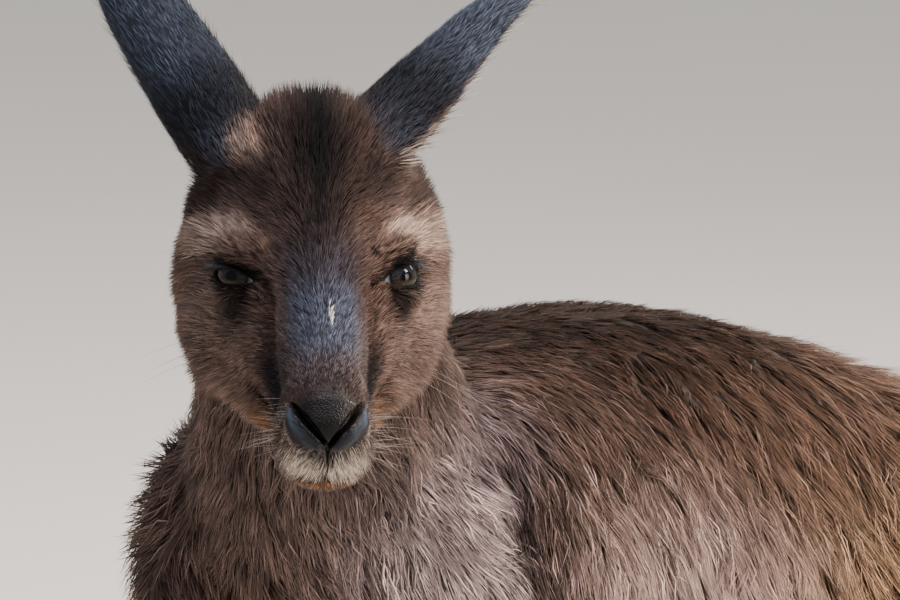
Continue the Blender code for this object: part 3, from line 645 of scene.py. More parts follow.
def lid_skin(local):
    """How far each point belongs to the bare rims of the lids, and to the dark short hair round them, which
    reaches further above the eye as painted shade under the brow.
    """
    rim, dark = np.zeros(len(local)), np.zeros(len(local))
    for side in SIDES.values():
        away, reach, rise = lid_distance(local, side)
        rim = np.maximum(rim, (1 - smooth_step(3.5, 6.0, away)) * (reach < 0.022))
        # painted shade: above the eye the dark zone reaches further, for the shade under the brow
        away = away * np.where(rise > 0, 0.72, 1.0)
        dark = np.maximum(dark, (1 - smooth_step(7.0, 13.5, away)) * (reach < 0.024))
    return rim, dark


def ear_linings(local, facing, on_ears):
    inner = np.zeros(len(local))
    for word, side in SIDES.items():
        opening = unit(np.array(EAR_OPENING[f"ear_{word}"]))
        inner = np.where(np.sign(local[:, 1]) == side, smooth_step(0.05, 0.45, facing @ opening), inner)
    return inner * on_ears


def make_skin(sizes, colours):
    """One closed skin inside all the flesh solids, by the depth of the coat."""
    skin = rough_skin(sizes)
    mesh = skin.data
    points = coords(mesh)
    edges = read(mesh.edges, "vertices", 2, np.int32)
    local = moved(points, TO_HEAD)
    table, owner = spread_table(points, local, edges)
    colour = painted(table, points, local)
    local, on_face = sink(skin, table[:, DEPTH], edges)

    bare = nose_pad(local) * on_face
    rim, dark = lid_skin(local)
    table[:, LENGTH] = mix(table[:, LENGTH], 3.5, dark)
    cleft, wing = groove(local, CLEFT), groove(local, WING)
    lips = mouth(local, 0.0006, 0.0020) * on_face
    inner = ear_linings(local, turned(normals(mesh), TO_HEAD), table[:, ON_EARS])
    # Painted shade: near black inside the nostrils; the wings' blue-grey is a painted highlight on black
    # leather
    for tint, amount in (
        (colours.lids, dark), ("#120d0c", cleft), (colours.leather, bare), (colours.wings, 0.8 * wing * bare),
        ("#050404", groove(local, NOSTRIL)), ("#140d0a", lips), (colours.ear_lining, inner),
    ):  # fmt: skip
        colour = over(colour, tint, amount)

    density = table[:, DENSITY] * (1 - bare) * (1 - rim) * (1 - 0.75 * inner) * (1 - lips) * (1 - cleft)
    store_colour(mesh, "coat", colour)
    naked = np.maximum.reduce([bare, rim, lips, 0.6 * inner])[:, None]
    # Painted shade: under the hair the skin is darkened so the gaps between the hairs read as shade; bare
    # skin keeps its colour
    store_colour(mesh, "skin_tint", colour * (0.32 + 0.68 * naked))  # dark between the hairs
    store(mesh, "bare", "FLOAT", bare * (1 - 0.7 * wing))
    store(mesh, "length", "FLOAT", table[:, LENGTH] * 0.001)
    store(mesh, "width", "FLOAT", table[:, WIDTH] * 0.001)
    store(mesh, "lift", "FLOAT", table[:, LIFT])
    store(mesh, "density", "FLOAT", density * (1 + 0.8 * dark))
    store(mesh, "inner_ear", "FLOAT", inner)
    store(mesh, "lie", "FLOAT_VECTOR", unit(table[:, LIE]))
    store(mesh, "owner", "FLOAT", owner)
    mesh.shade_smooth()
    return skin


# ---------------------------------------------------------------- tufts
CROWN_FROM = -0.028  # X in the head's frame where the crown parts from the face
SHOWN_PLACE, SHOWN_RADII = Vector((0.62, 0.16, 0.45)), (0.34, 0.16, 0.20)  # looked at from near by
PATCH = 0.003  # side of one tuft's place on the bake map
UNWRAPPED = 3000  # faces, at the most, of the skin that the bake map is unwrapped from
BOX_GAP = 0.0008  # tips stay this far inside the box round the solids
LOWEST_TIP, LOWEST_ROOT = 0.0006, 0.0008  # above the floor
ROOT_DEPTH = 0.0006  # of the roots below the skin
SCAR_HAIR, EAR_HAIR = "#cfc8c4", "#a89c92"

# Piece: its look, its solids, its share of the fine tufts of head or body, and its share of the locks
COATS = {
    "coat_face_left": ("head", FACE, 0.40, 0.0),
    "coat_face_right": ("head", FACE, 0.34, 0.0),
    "coat_crown": ("head", ("head", "lower_jaw"), 0.26, 0.0),
    "coat_ears": ("ears", EARS, 0.115, 0.0),
    "coat_neck": ("body", ("neck",), 0.115, 0.14),
    "coat_chest": ("body", ("chest",), 0.115, 0.16),
    "coat_flank_left": ("flank", ("abdomen",), 0.185, 0.22),
    "coat_flank_right": ("flank", ("abdomen",), 0.100, 0.10),
    "coat_forelimbs": ("limbs", pairs("upper_arm", "forearm", "forepaw"), 0.110, 0.10),
    "coat_haunch_left": ("limbs", ("thigh_left", "shin_left", "foot_left"), 0.090, 0.10),
    "coat_haunch_right": ("limbs", ("thigh_right", "shin_right", "foot_right"), 0.080, 0.08),
    "coat_tail": ("limbs", TAIL, 0.090, 0.10),
}
# Look: how far colours run into each other in metres, tufts to a lock, how hard it gathers them, waviness,
# strength and size of the broad streaks, size of the fine ones, spread of tone, painted shade at the edge of
# a lock, and the lightest tone
LOOKS = {
    "head": (0.0019, 10, 0.40, 1.0, 0.16, 0.006, 0.003, 0.45, 0.42, 1.9),
    "ears": (0.0003, 10, 0.40, 1.0, 0.16, 0.006, 0.003, 0.58, 0.42, 1.5),
    "body": (0.0100, 20, 0.55, 1.6, 0.24, 0.022, 0.008, 0.34, 0.55, 1.5),
    "flank": (0.0100, 32, 0.68, 1.6, 0.24, 0.022, 0.008, 0.34, 0.55, 1.5),
    "limbs": (0.0100, 10, 0.40, 1.0, 0.16, 0.006, 0.003, 0.45, 0.42, 1.5),
}
# Places on the head where single tufts differ more in tone: centre and radii, and how much more
MOTTLED = (
    ((0.100, 0.008, -0.028), (0.016, 0.022, 0.012), 0.30),
    ((-0.010, 0.040, 0.018), (0.030, 0.026, 0.016), 0.20),
)


class SkinValues:
    """What the tufts take from the skin, at its points and over its faces."""

    def __init__(self, mesh, tint):
        self.points, self.normals, self.faces = coords(mesh), normals(mesh), triangles(mesh)
        self.centres = self.points[self.faces].mean(axis=1)
        self.tree = points_tree(self.points)
        for key in ("owner", "lie", "length", "width", "lift", "inner_ear"):
            setattr(self, key, stored(mesh, key))
        self.coat = stored(mesh, "coat")[:, :3] * tint
        # tufts are set closer together on the left shoulder and flank
        away = np.linalg.norm((self.centres - np.array(SHOWN_PLACE)) / SHOWN_RADII, axis=1)
        closeness = 1 + 2.2 * (1 - smooth_step(0.5, 1.4, away))
        self.density = stored(mesh, "density")[self.faces].mean(axis=1) * closeness


def stretch_under(name, skin):
    """Numbers of the faces of the skin that a piece of the coat covers."""
    mine = of_solids(skin.owner[skin.faces[:, 0]], COATS[name][1])
    local = moved(skin.centres, TO_HEAD)
    side = SIDES.get(name.split("_")[-1])
    if name.startswith("coat_face"):
        mine &= (local[:, 1] * side >= 0) & (local[:, 0] > CROWN_FROM)
    elif name == "coat_crown":
        mine &= local[:, 0] <= CROWN_FROM
    elif name.startswith("coat_flank"):
        mine &= (skin.centres[:, 1] > TRUNK_MIDDLE) == (side > 0)
    return np.nonzero(mine)[0]


def roots_on(skin, chosen, count, random):
    """Points spread over chosen faces by area and density: their faces, and the shares of the corners."""
    corners = skin.points[skin.faces[chosen]]
    area = np.linalg.norm(np.cross(corners[:, 1] - corners[:, 0], corners[:, 2] - corners[:, 0]), axis=1) / 2
    load = np.cumsum(area * skin.density[chosen])
    picks = (np.arange(count) + random.uniform(0, 1, count)) / count * load[-1]
    face = chosen[np.minimum(np.searchsorted(load, picks), len(chosen) - 1)]
    a, b = random.uniform(0, 1, (2, count))
    flip = a + b > 1
    a, b = np.where(flip, 1 - a, a), np.where(flip, 1 - b, b)
    return face, np.stack((1 - a - b, a, b), axis=1)


def gathered(roots, tips, lengths, spacing, pull, random):
    """Draws the tips of neighbouring tufts into locks; gives also how far out in its lock each one is."""
    count = len(roots)
    heads = np.sort(random.choice(count, max(8, int(count / spacing)), replace=False))
    tree = points_tree(roots[heads])
    found = [tree.find(root) for root in roots]
    nearest = np.array([at for _, at, _ in found])
    away = np.array([distance for *_, distance in found])
    leader = heads[nearest]
    members = np.bincount(nearest, minlength=len(heads))
    spread = np.maximum(np.bincount(nearest, away, len(heads)) / np.maximum(members, 1), 1e-6)
    edge = np.clip(away / (1.8 * spread[nearest]), 0, 1)
    meet = roots[leader] + (tips[leader] - roots[leader]) * (lengths / lengths[leader])[:, None]
    return tips + (meet - tips) * (pull * edge)[:, None], edge


def room_for(starts, ends):
    """The share of each hair, from start to end, that stays inside the box round the solids."""
    low, high = (np.array(corner) for corner in CAD_BOX)
    run = ends - starts
    room = np.where(run > 0, high - BOX_GAP - starts, starts - low - BOX_GAP) / np.maximum(np.abs(run), 1e-9)
    return np.clip(room.min(axis=1), 0.02, 1.0)[:, None]


def mottled(colour, root, flow, look, edge, lining, random):
    """Gives each tuft its own tone, in streaks along the flow, with painted shade towards the edge of its
    lock, and lays in the scar and pale ear hairs.
    """
    _, _, _, _, strength, broad, fine, spread, shadow, lightest = LOOKS[look]
    count = len(root)
    across = root - flow * (0.82 * (root @ flow))[:, None]
    streak = strength * noise_at(across, broad, 11) + 0.13 * noise_at(across, fine, 13)
    local = moved(root, TO_HEAD)
    for centre, radii, more in MOTTLED:
        spread = spread + more * blob(local, centre, radii)
    # painted shade: tufts towards the edge of their lock are darker, as in the gaps between locks
    tone = (1 + streak) * np.exp(spread * random.normal(0, 1, count)) * (1 - shadow * edge)
    tone = np.minimum(np.where(random.uniform(0, 1, count) < 0.08, tone * 1.5, tone), lightest)
    colour = colour * np.maximum(tone, 0.3)[:, None]
    in_scar = (off_path(local, SCAR) < 1) & (local[:, 1] > 0)
    colour = np.where(in_scar[:, None], linear(SCAR_HAIR), colour)
    in_ear = (lining > 0.4) & (random.uniform(0, 1, count) < 0.7)
    return np.where(in_ear[:, None], linear(EAR_HAIR) * tone[:, None], colour)


def skin_map(points, faces, roots):
    """Where each root lies on an unwrap of these faces of the skin."""
    used, renumbered = np.unique(faces, return_inverse=True)
    mesh = bpy.data.meshes.new("unwrap")
    mesh.from_pydata(points[used].tolist(), [], renumbered.reshape(-1, 3).tolist())
    proxy = placed("unwrap", mesh)
    if len(mesh.polygons) > UNWRAPPED:
        apply(proxy, "DECIMATE", ratio=UNWRAPPED / len(mesh.polygons), use_collapse_triangulate=True)
    only(proxy)
    bpy.ops.object.mode_set(mode="EDIT")
    bpy.ops.mesh.select_all(action="SELECT")
    bpy.ops.uv.smart_project(angle_limit=math.radians(66), island_margin=0.004)
    bpy.ops.object.mode_set(mode="OBJECT")
    mesh = proxy.data
    corner, triangle = coords(mesh), triangles(mesh)
    uv = read(mesh.uv_layers.active.data, "uv", 2)[read(mesh.loop_triangles, "loops", 3, np.int32)]
    tree = BVHTree.FromPolygons(corner.tolist(), triangle.tolist())
    found = [tree.find_nearest(root) for root in roots]
    face, at = np.array([hit[2] for hit in found]), np.array([hit[0] for hit in found])
    a, b, c = (corner[triangle[face, k]] for k in range(3))
    v0, v1, v2 = b - a, c - a, at - a
    d00, d01, d11 = (v0 * v0).sum(1), (v0 * v1).sum(1), (v1 * v1).sum(1)
    d20, d21 = (v2 * v0).sum(1), (v2 * v1).sum(1)
    scale = np.maximum(d00 * d11 - d01 * d01, 1e-18)
    v, w = (d11 * d20 - d01 * d21) / scale, (d00 * d21 - d01 * d20) / scale
    bpy.data.objects.remove(proxy, do_unlink=True)
    return (uv[face] * np.stack((1 - v - w, v, w), axis=1)[:, :, None]).sum(axis=1)


def spike(levels):
    """A closed three-sided spike with a ring at each level: its faces, heights of points, UV of corners."""
    faces, uv = [(0, 2, 1)], [(0, 0), (2 / 3, 0.04), (1 / 3, 0)]
    corners = [(k, (k + 1) % 3, k / 3, (k + 1) / 3) for k in range(3)]
    for low, high in zip(levels, levels[1:]):
        for k, n, u, w in corners:
            faces += [(k, n, n + 3), (k, n + 3, k + 3)]
            uv += [(u, low), (w, low), (w, high), (u, low), (w, high), (u, high)]
    rim, tip = 3 * len(levels) - 3, 3 * len(levels)
    for k, n, u, w in corners:
        faces.append((rim + k, rim + n, tip))
        uv += [(u, levels[-1]), (w, levels[-1]), (0.5, 1.0)]
    return np.array(faces), np.array([*np.repeat(levels, 3), 1.0]), np.array(uv)


def tuft_mesh(name, roots, tips, bend, facing, width, colour, patch, stepped):
    """One mesh of closed three-sided spikes, each with two stretches where stepped and one where not."""
    levels, thickness = ((0.0, 0.5), (1.0, 0.86)) if stepped else ((0.0,), (1.0,))
    faces, height, uv = spike(levels)
    count, per = len(roots), len(height)
    run = tips - roots
    across = unit(np.cross(run, facing))
    above = unit(np.cross(across, run))
    rings = []
    for share, size in zip(levels, thickness):
        centre = roots + run * share + bend * (4 * share * (1 - share))
        half = (width * 0.5 * size)[:, None]
        rings += [centre - across * half, centre + across * half, centre + above * half * 0.55]
    points = np.stack([*rings, tips], axis=1)
    loops = (faces.ravel()[None, :] + np.arange(count)[:, None] * per).ravel()

    mesh = bpy.data.meshes.new(name)
    mesh.vertices.add(count * per)
    mesh.vertices.foreach_set("co", points.astype(np.float32).ravel())
    mesh.loops.add(len(loops))
    mesh.loops.foreach_set("vertex_index", loops.astype(np.int32))
    mesh.polygons.add(len(loops) // 3)
    mesh.polygons.foreach_set("loop_start", np.arange(0, len(loops), 3, dtype=np.int32))
    mesh.update(calc_edges=True)
    spot = np.clip(patch, PATCH, 1 - PATCH)[:, None, :] + (uv - 0.5)[None] * PATCH
    shift = np.random.default_rng(count).uniform(0, 50, (count, 1, 1)) * np.array((1.0, 0.37))
    for layer, places in (("OFBake", spot), ("Strand", uv[None] + shift)):
        mesh.uv_layers.new(name=layer).data.foreach_set("uv", places.astype(np.float32).ravel())
    # Painted shade: each tuft is dark at the root, where the coat shades it, and lighter towards the tip
    tint = colour[:, None, :] * (0.18 + 1.12 * height)[:, None]  # dark at the root
    store_colour(mesh, "coat", tint.reshape(-1, 3))
    mesh.shade_smooth()
    return placed(name, mesh)


def lay_tufts(part, look, skin, chosen, count, stepped, random):
    """Fine straight tufts over the chosen faces, or longer bent locks where stepped."""
    blend, spacing, pull, wave = LOOKS[look][:4]
    face, share = roots_on(skin, chosen, count, random)
    ring = skin.faces[face]

    def at_root(values):
        return (values[ring] * (share if values.ndim == 1 else share[:, :, None])).sum(axis=1)

    root, out, along = at_root(skin.points), unit(at_root(skin.normals)), at_root(skin.lie)
    along = unit(along - out * (along * out).sum(axis=1)[:, None])
    spots = root + random.normal(0, 1, (count, 3)) * blend
    colour = skin.coat[[skin.tree.find(spot)[1] for spot in spots]]
    lining = at_root(skin.inner_ear)
    long = at_root(skin.length) * random.uniform(0.75, 1.2, count) * (1 + 0.9 * lining)
    wide = at_root(skin.width) * random.uniform(0.8, 1.2, count)
    if stepped:
        long, wide = long * 1.10, wide * 1.15

    swirl = wave * (10 * noise_at(root, 0.05, 3) + 9 * noise_at(root, 0.016, 5)) + random.normal(0, 7, count)
    swirl = np.radians(swirl)[:, None]
    along = along * np.cos(swirl) + np.cross(out, along) * np.sin(swirl)
    rise = at_root(skin.lift) * (1 + 0.25 * noise_at(root, 0.02, 7)) * (0.7 if stepped else 1.0)
    rise = rise + random.normal(0, 3, count) + 25 * lining
    rise = np.radians(np.clip(rise, 3, 60))[:, None]
    tip = root + (along * np.cos(rise) + out * np.sin(rise)) * long[:, None]
    tip, edge = gathered(root, tip, long, spacing, pull, random)
    room = room_for(root, tip)
    tip = root + (tip - root) * room
    tip[:, 2] = np.maximum(tip[:, 2], LOWEST_TIP)
    root = root - out * np.minimum(ROOT_DEPTH, wide)[:, None]
    root[:, 2] = np.maximum(root[:, 2], LOWEST_ROOT)

    flow = unit(skin.lie[skin.faces[chosen, 0]].mean(axis=0))
    colour = mottled(colour, root, flow, look, edge, lining, random)
    bend = np.zeros((count, 3))
    if stepped:
        aside = long * random.normal(0, 0.09, count)
        bend = (out * (long * 0.10)[:, None] + np.cross(out, along) * aside[:, None]) * (room >= 1)
    patch = skin_map(skin.points, skin.faces[chosen], root)
    return tuft_mesh(part, root, tip, bend, out, wide, colour, patch, stepped)


# ---------------------------------------------------------------- materials
def add_node(tree, kind, links=(), inputs=None, **settings):
    """Adds a shader node with its settings and input values, and links it from (input, node, output)."""
    made = tree.nodes.new("ShaderNode" + kind)
    for key, value in settings.items():
        setattr(made, key, value)
    for key, value in (inputs or {}).items():
        made.inputs[key].default_value = value
    for key, source, output in links:
        tree.links.new(source.outputs[output], made.inputs[key])
    return made


def pattern(tree, kind, scale, **inputs):
    """A texture over the object's own space."""
    place = tree.nodes.get("Texture Coordinate") or add_node(tree, "TexCoord")
    return add_node(tree, kind, [("Vector", place, "Object")], {"Scale": scale, **inputs})


def varied(tree, attribute, noise, low, high):
    """The colour of an attribute, made darker and lighter between low and high by a noise."""
    tint = add_node(tree, "Attribute", attribute_name=attribute)
    reach = {"From Min": 0.3, "From Max": 0.7, "To Min": low, "To Max": high}
    level = add_node(tree, "MapRange", [("Value", noise, "Fac")], reach)
    links = [("Vector", tint, "Color"), ("Scale", level, "Result")]
    return add_node(tree, "VectorMath", links, operation="SCALE")


def two_tones(tree, noise, low, high):
    ramp = add_node(tree, "ValToRGB", [("Fac", noise, "Fac")])
    for element, tone in zip(ramp.color_ramp.elements, (low, high)):
        element.color = (*tone, 1)
    return ramp


def new_material(name):
    material = bpy.data.materials.new(name)
    material.use_nodes = True
    material.node_tree.nodes.clear()
    return material, material.node_tree


def surface(tree, links, look):
    shader = add_node(tree, "BsdfPrincipled", links, look)
    add_node(tree, "OutputMaterial", [("Surface", shader, "BSDF")])


def kangaroo_hair():
    """Dry guard hair over soft wool: matt, with a pale sheen seen edge on, and strands along each tuft."""
    material, tree = new_material("kangaroo hair")
    uv = add_node(tree, "UVMap", uv_map="Strand")
    # about seven strands round a tuft a millimetre wide, each running most of its length
    stretch = add_node(tree, "Mapping", [("Vector", uv, "UV")], {"Scale": (14.0, 1.3, 1.0)})
    strands = add_node(tree, "TexNoise", [("Vector", stretch, "Vector")], {"Scale": 1.0, "Detail": 2.0})
    tint = varied(tree, "coat", strands, 0.60, 1.30)
    look = {"Roughness": 0.7, "Specular IOR Level": 0.08, "Sheen Weight": 0.02, "Sheen Roughness": 0.40}
    look["Sheen Tint"] = (*linear("#b9b2bd"), 1)
    surface(tree, [("Base Color", tint, "Vector")], look)
    return material


def kangaroo_skin():
    """Velvety short fur, and damp, finely pebbled leather where the attribute bare is 1."""
    material, tree = new_material("kangaroo skin")
    bare = add_node(tree, "Attribute", attribute_name="bare")
    # velvet pile with a grain of about 0.4 mm, and leather pebbles of about 0.9 mm
    pile = pattern(tree, "TexNoise", 1800.0, Detail=3.0, Roughness=0.7)
    pebbles = pattern(tree, "TexVoronoi", 1100.0)
    blotch = pattern(tree, "TexNoise", 160.0, Detail=4.0)
    tint = varied(tree, "skin_tint", pile, 0.62, 1.05)
    grain = add_node(tree, "Mix", [("Factor", bare, "Fac"), ("A", pile, "Fac"), ("B", pebbles, "Distance")])
    bump = add_node(tree, "Bump", [("Height", grain, "Result")], {"Strength": 0.55, "Distance": 0.0004})
    gloss = add_node(tree, "MapRange", [("Value", bare, "Fac")], {"To Min": 0.78, "To Max": 0.52})
    terms = [(0, gloss, "Result"), (1, blotch, "Fac")]
    damp = add_node(tree, "Math", terms, {2: 0.10}, operation="MULTIPLY_ADD")
    wet = add_node(tree, "Math", [(0, bare, "Fac")], {1: 0.25}, operation="MULTIPLY")
    links = [("Base Color", tint, "Vector"), ("Roughness", damp, "Value"), ("Normal", bump, "Normal"),
             ("Coat Weight", wet, "Value"), ("Coat Normal", bump, "Normal")]  # fmt: skip
    surface(tree, links, {"Specular IOR Level": 0.05, "Coat Roughness": 0.40, "Coat IOR": 1.45})
    return material


def wet_eye():
    """A wet cornea over a dark iris with fine spokes; colours are painted on the ball by the way it looks."""
    material, tree = new_material("wet eye")
    tint = varied(tree, "iris", pattern(tree, "TexNoise", 900.0, Detail=2.0), 0.7, 1.3)
    look = {"Roughness": 0.4, "Specular IOR Level": 0.0}
    look |= {"Coat Weight": 0.6, "Coat Roughness": 0.03, "Coat IOR": 1.36}
    surface(tree, [("Base Color", tint, "Vector")], look)
    return material


def worn_horn(colours):
    """Black horn, grown in fine lengthwise layers and rubbed paler and duller at the tips."""
    material, tree = new_material("worn horn")
    layers = pattern(tree, "TexNoise", 700.0, Detail=3.0)
    ramp = two_tones(tree, layers, colours.claws, colours.worn_claws)
    ramp.color_ramp.elements[0].position, ramp.color_ramp.elements[1].position = 0.35, 0.75
    bump = add_node(tree, "Bump", [("Height", layers, "Fac")], {"Strength": 0.3, "Distance": 0.0002})
    surface(tree, [("Base Color", ramp, "Color"), ("Normal", bump, "Normal")], {"Roughness": 0.42})
    return material


def plain_hair(name, colour):
    """Single stiff hairs: smooth keratin with a soft shine."""
    material, tree = new_material(name)
    surface(tree, (), {"Base Color": (*colour, 1), "Roughness": 0.5, "Specular IOR Level": 0.3})
    return material


def dress(thing, material, slot, *nodes):
    """Gives a piece its material and its place in the frame."""
    thing.data.materials.clear()
    thing.data.materials.append(material)
    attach(thing, "root")
    if nodes:
        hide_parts(*nodes)


# ---------------------------------------------------------------- eyes, claws and single hairs
def make_eye(word, colours, material):
    """An eyeball with its clear bulge, iris and pupil turned the way it looks."""
    side = SIDES[word]
    centre, gaze, along, up = eye_axes(side)
    bpy.ops.mesh.primitive_uv_sphere_add(segments=96, ring_count=64, radius=EYE_RADIUS)
    ball = bpy.context.object
    ball.name = ball.data.name = f"eyeball_{word}"
    ray = unit(coords(ball.data)) @ np.stack((along, up * side, gaze))  # poles on the axis of the gaze
    angle = np.degrees(np.arccos(np.clip(ray @ gaze, -1, 1)))
    bulge = 0.0007 * (1 - smooth_step(4, 30, angle))
    set_coords(ball.data, moved(centre + ray * (EYE_RADIUS + bulge)[:, None], HEAD))

    angle = np.degrees(np.arccos(np.clip(ray @ unit(gaze - 0.22 * along), -1, 1)))
    tall, wide = ray @ up, ray @ unit(along + 0.22 * gaze)
    spokes = 0.5 + 0.5 * np.sin(np.arctan2(tall, wide) * 46)
    # Painted reflection: the upper half of the iris is grey-blue for the sky reflected in the cornea; the
    # lower half is the olive-amber iris
    above = smooth_step(-0.10, 0.10, tall)[:, None]
    colour = mix(np.array(colours.iris_below), np.array(colours.iris_sky_reflection), above)
    colour = colour * (0.6 + 0.8 * spokes[:, None])
    colour = over(colour, "#0d0908", smooth_step(27, 31, angle))
    # partly a painted glint: the pale bluish white at the inner corner is the white of the eye and the wet
    # shine on it
    colour = over(colour, colours.eye_white, smooth_step(33, 41, angle) * smooth_step(-0.35, -0.55, wide))
    colour = over(colour, "#020202", smooth_step(1.30, 0.85, np.hypot(wide / 0.20, tall / 0.15)))  # the pupil
    store_colour(ball.data, "iris", colour)
    ball.data.shade_smooth()
    dress(ball, material, "eye", f"eye_{word}")


def hairs_mesh(name, paths, radius):
    """One mesh of tapered closed hairs along paths, each three-sided."""
    points, faces = [], []
    for path in paths:
        first, stretches = len(points), len(path) - 1
        for i, spot in enumerate(path[:-1]):
            ahead = (path[i + 1] - spot).normalized()
            side = ahead.orthogonal().normalized()
            other = ahead.cross(side)
            size = radius * (1 - 0.8 * i / stretches)
            for k in range(3):
                turn = math.tau * k / 3
                points.append(spot + side * (math.cos(turn) * size) + other * (math.sin(turn) * size))
        points.append(path[-1])
        faces.append((first + 2, first + 1, first))
        for ring in range(first, first + 3 * stretches - 3, 3):
            for k, n in ((0, 1), (1, 2), (2, 0)):
                faces.append((ring + k, ring + n, ring + 3 + n, ring + 3 + k))
        ring, tip = first + 3 * stretches - 3, len(points) - 1
        faces += [(ring + k, ring + n, tip) for k, n in ((0, 1), (1, 2), (2, 0))]
    mesh = bpy.data.meshes.new(name)
    mesh.from_pydata([tuple(p) for p in points], [], faces)
    mesh.shade_smooth()
    return placed(name, mesh)


def curved(start, heading, droop, length, steps):
    """A hair that starts out along heading and bends towards droop."""
    heading = heading.normalized()
    shares = [i / (steps - 1) for i in range(steps)]
    return [Vector(start) + heading * (length * t) + droop * (length * t * t) for t in shares]


LASHES = 52  # on each upper lid
LASHES_FROM, LASHES_OVER = -28, 76  # degrees across the opening
LASH_RADIUS, WHISKER_RADIUS = 0.00017, 0.00012
# Whiskers: centre and radii of their bed, how many, length, heading
WHISKER_BEDS = (
    ((0.080, 0.021, -0.022), (0.018, 0.010, 0.014), 34, 0.013, (0.1, 1.0, 0.1)),
    ((0.080, 0.022, -0.030), (0.016, 0.010, 0.010), 10, 0.032, (-0.1, 1.0, -0.25)),
    ((0.092, 0.012, -0.036), (0.010, 0.012, 0.008), 12, 0.010, (0.5, 0.5, -1.0)),
    ((-0.004, 0.042, 0.014), (0.008, 0.008, 0.006), 4, 0.034, (0.2, 0.8, 0.5)),
    ((0.010, 0.050, -0.040), (0.012, 0.010, 0.012), 4, 0.036, (0.0, 1.0, -0.4)),
)


def make_lashes(random):
    paths = []
    turn = HEAD.to_3x3()
    for side in SIDES.values():
        centre, gaze, along, up = eye_axes(side)
        for i in range(LASHES):
            across = LASHES_FROM + LASHES_OVER * (i + random.uniform(-0.4, 0.4)) / (LASHES - 1)
            outer = smooth_step(LASHES_FROM, 40, across)
            rise = upper_lid(across, INNER_CORNER, side) + random.uniform(0.5, 4.0)
            a, b = math.radians(across), math.radians(rise)
            ray = math.cos(b) * (math.cos(a) * gaze + math.sin(a) * along) + math.sin(b) * up
            start = HEAD @ Vector(centre + ray * (EYE_RADIUS + LID_THICKNESS))
            hang = random.uniform(0.25, 1.7 if side > 0 else 0.8) * (0.4 + 0.6 * outer)
            heading = turn @ Vector(ray * 0.75 + along * (0.1 + 0.5 * outer) - up * hang)
            droop = turn @ Vector(up * 0.10 - ray * 0.10)
            length = random.uniform(0.0060, 0.0095) * (0.55 + 0.6 * outer)
            paths.append(curved(start, heading, droop, length, 5))
    return hairs_mesh("lashes", paths, LASH_RADIUS)


def make_whiskers(skin, random):
    """Stiff pale and dark hairs on the lips, brows and cheeks."""
    points = coords(skin.data)
    local = moved(points, TO_HEAD)
    out = turned(normals(skin.data), TO_HEAD)
    paths = []
    turn = HEAD.to_3x3()
    droop = turn @ Vector((-0.10, 0.0, -0.20))
    for side in SIDES.values():
        for centre, radii, count, length, heading in WHISKER_BEDS:
            away = np.linalg.norm((local - np.array(centre) * (1, side, 1)) / radii, axis=1)
            for index in random.choice(np.nonzero(away < 1)[0], count):
                aim = Vector(np.array(heading) * (1, side, 1)).normalized() + Vector(out[index]) * 0.5
                aim += Vector(random.normal(0, 0.12, 3))
                path = curved(points[index], turn @ aim, droop, length * random.uniform(0.6, 1.15), 7)
                reach = room_for(np.tile(path[0], (6, 1)), np.array(path[1:])).min()
                paths.append([path[0] + (spot - path[0]) * reach for spot in path])
    return hairs_mesh("whiskers", paths, WHISKER_RADIUS)


# ---------------------------------------------------------------- stage
VIEW = Vector((0.7544, 0.6330, 0.1736))  # from the head to the camera
RIGHT = Vector((-0.6428, 0.7660, 0.0))
UP = VIEW.cross(RIGHT).normalized()
DISTANCE = 4.0
IMAGE_WIDTH = 0.4054  # metres across the picture at the head
HEAD_LEFT, HEAD_UP = 0.0597, 0.0113  # from the middle of the picture to the head
SENSOR = 36.0  # millimetres


def aimed(thing, place, aim):
    thing.rotation_mode = "QUATERNION"
    thing.rotation_quaternion = (aim - place).to_track_quat("-Z", "Y")


def area_light(name, place, aim, size, power, tint):
    bpy.ops.object.light_add(type="AREA", location=place)
    lamp = bpy.context.object
    lamp.name = name
    aimed(lamp, place, aim)
    lamp.data.size = size
    lamp.data.energy = power
    lamp.data.color = linear(tint)
    return lamp.data


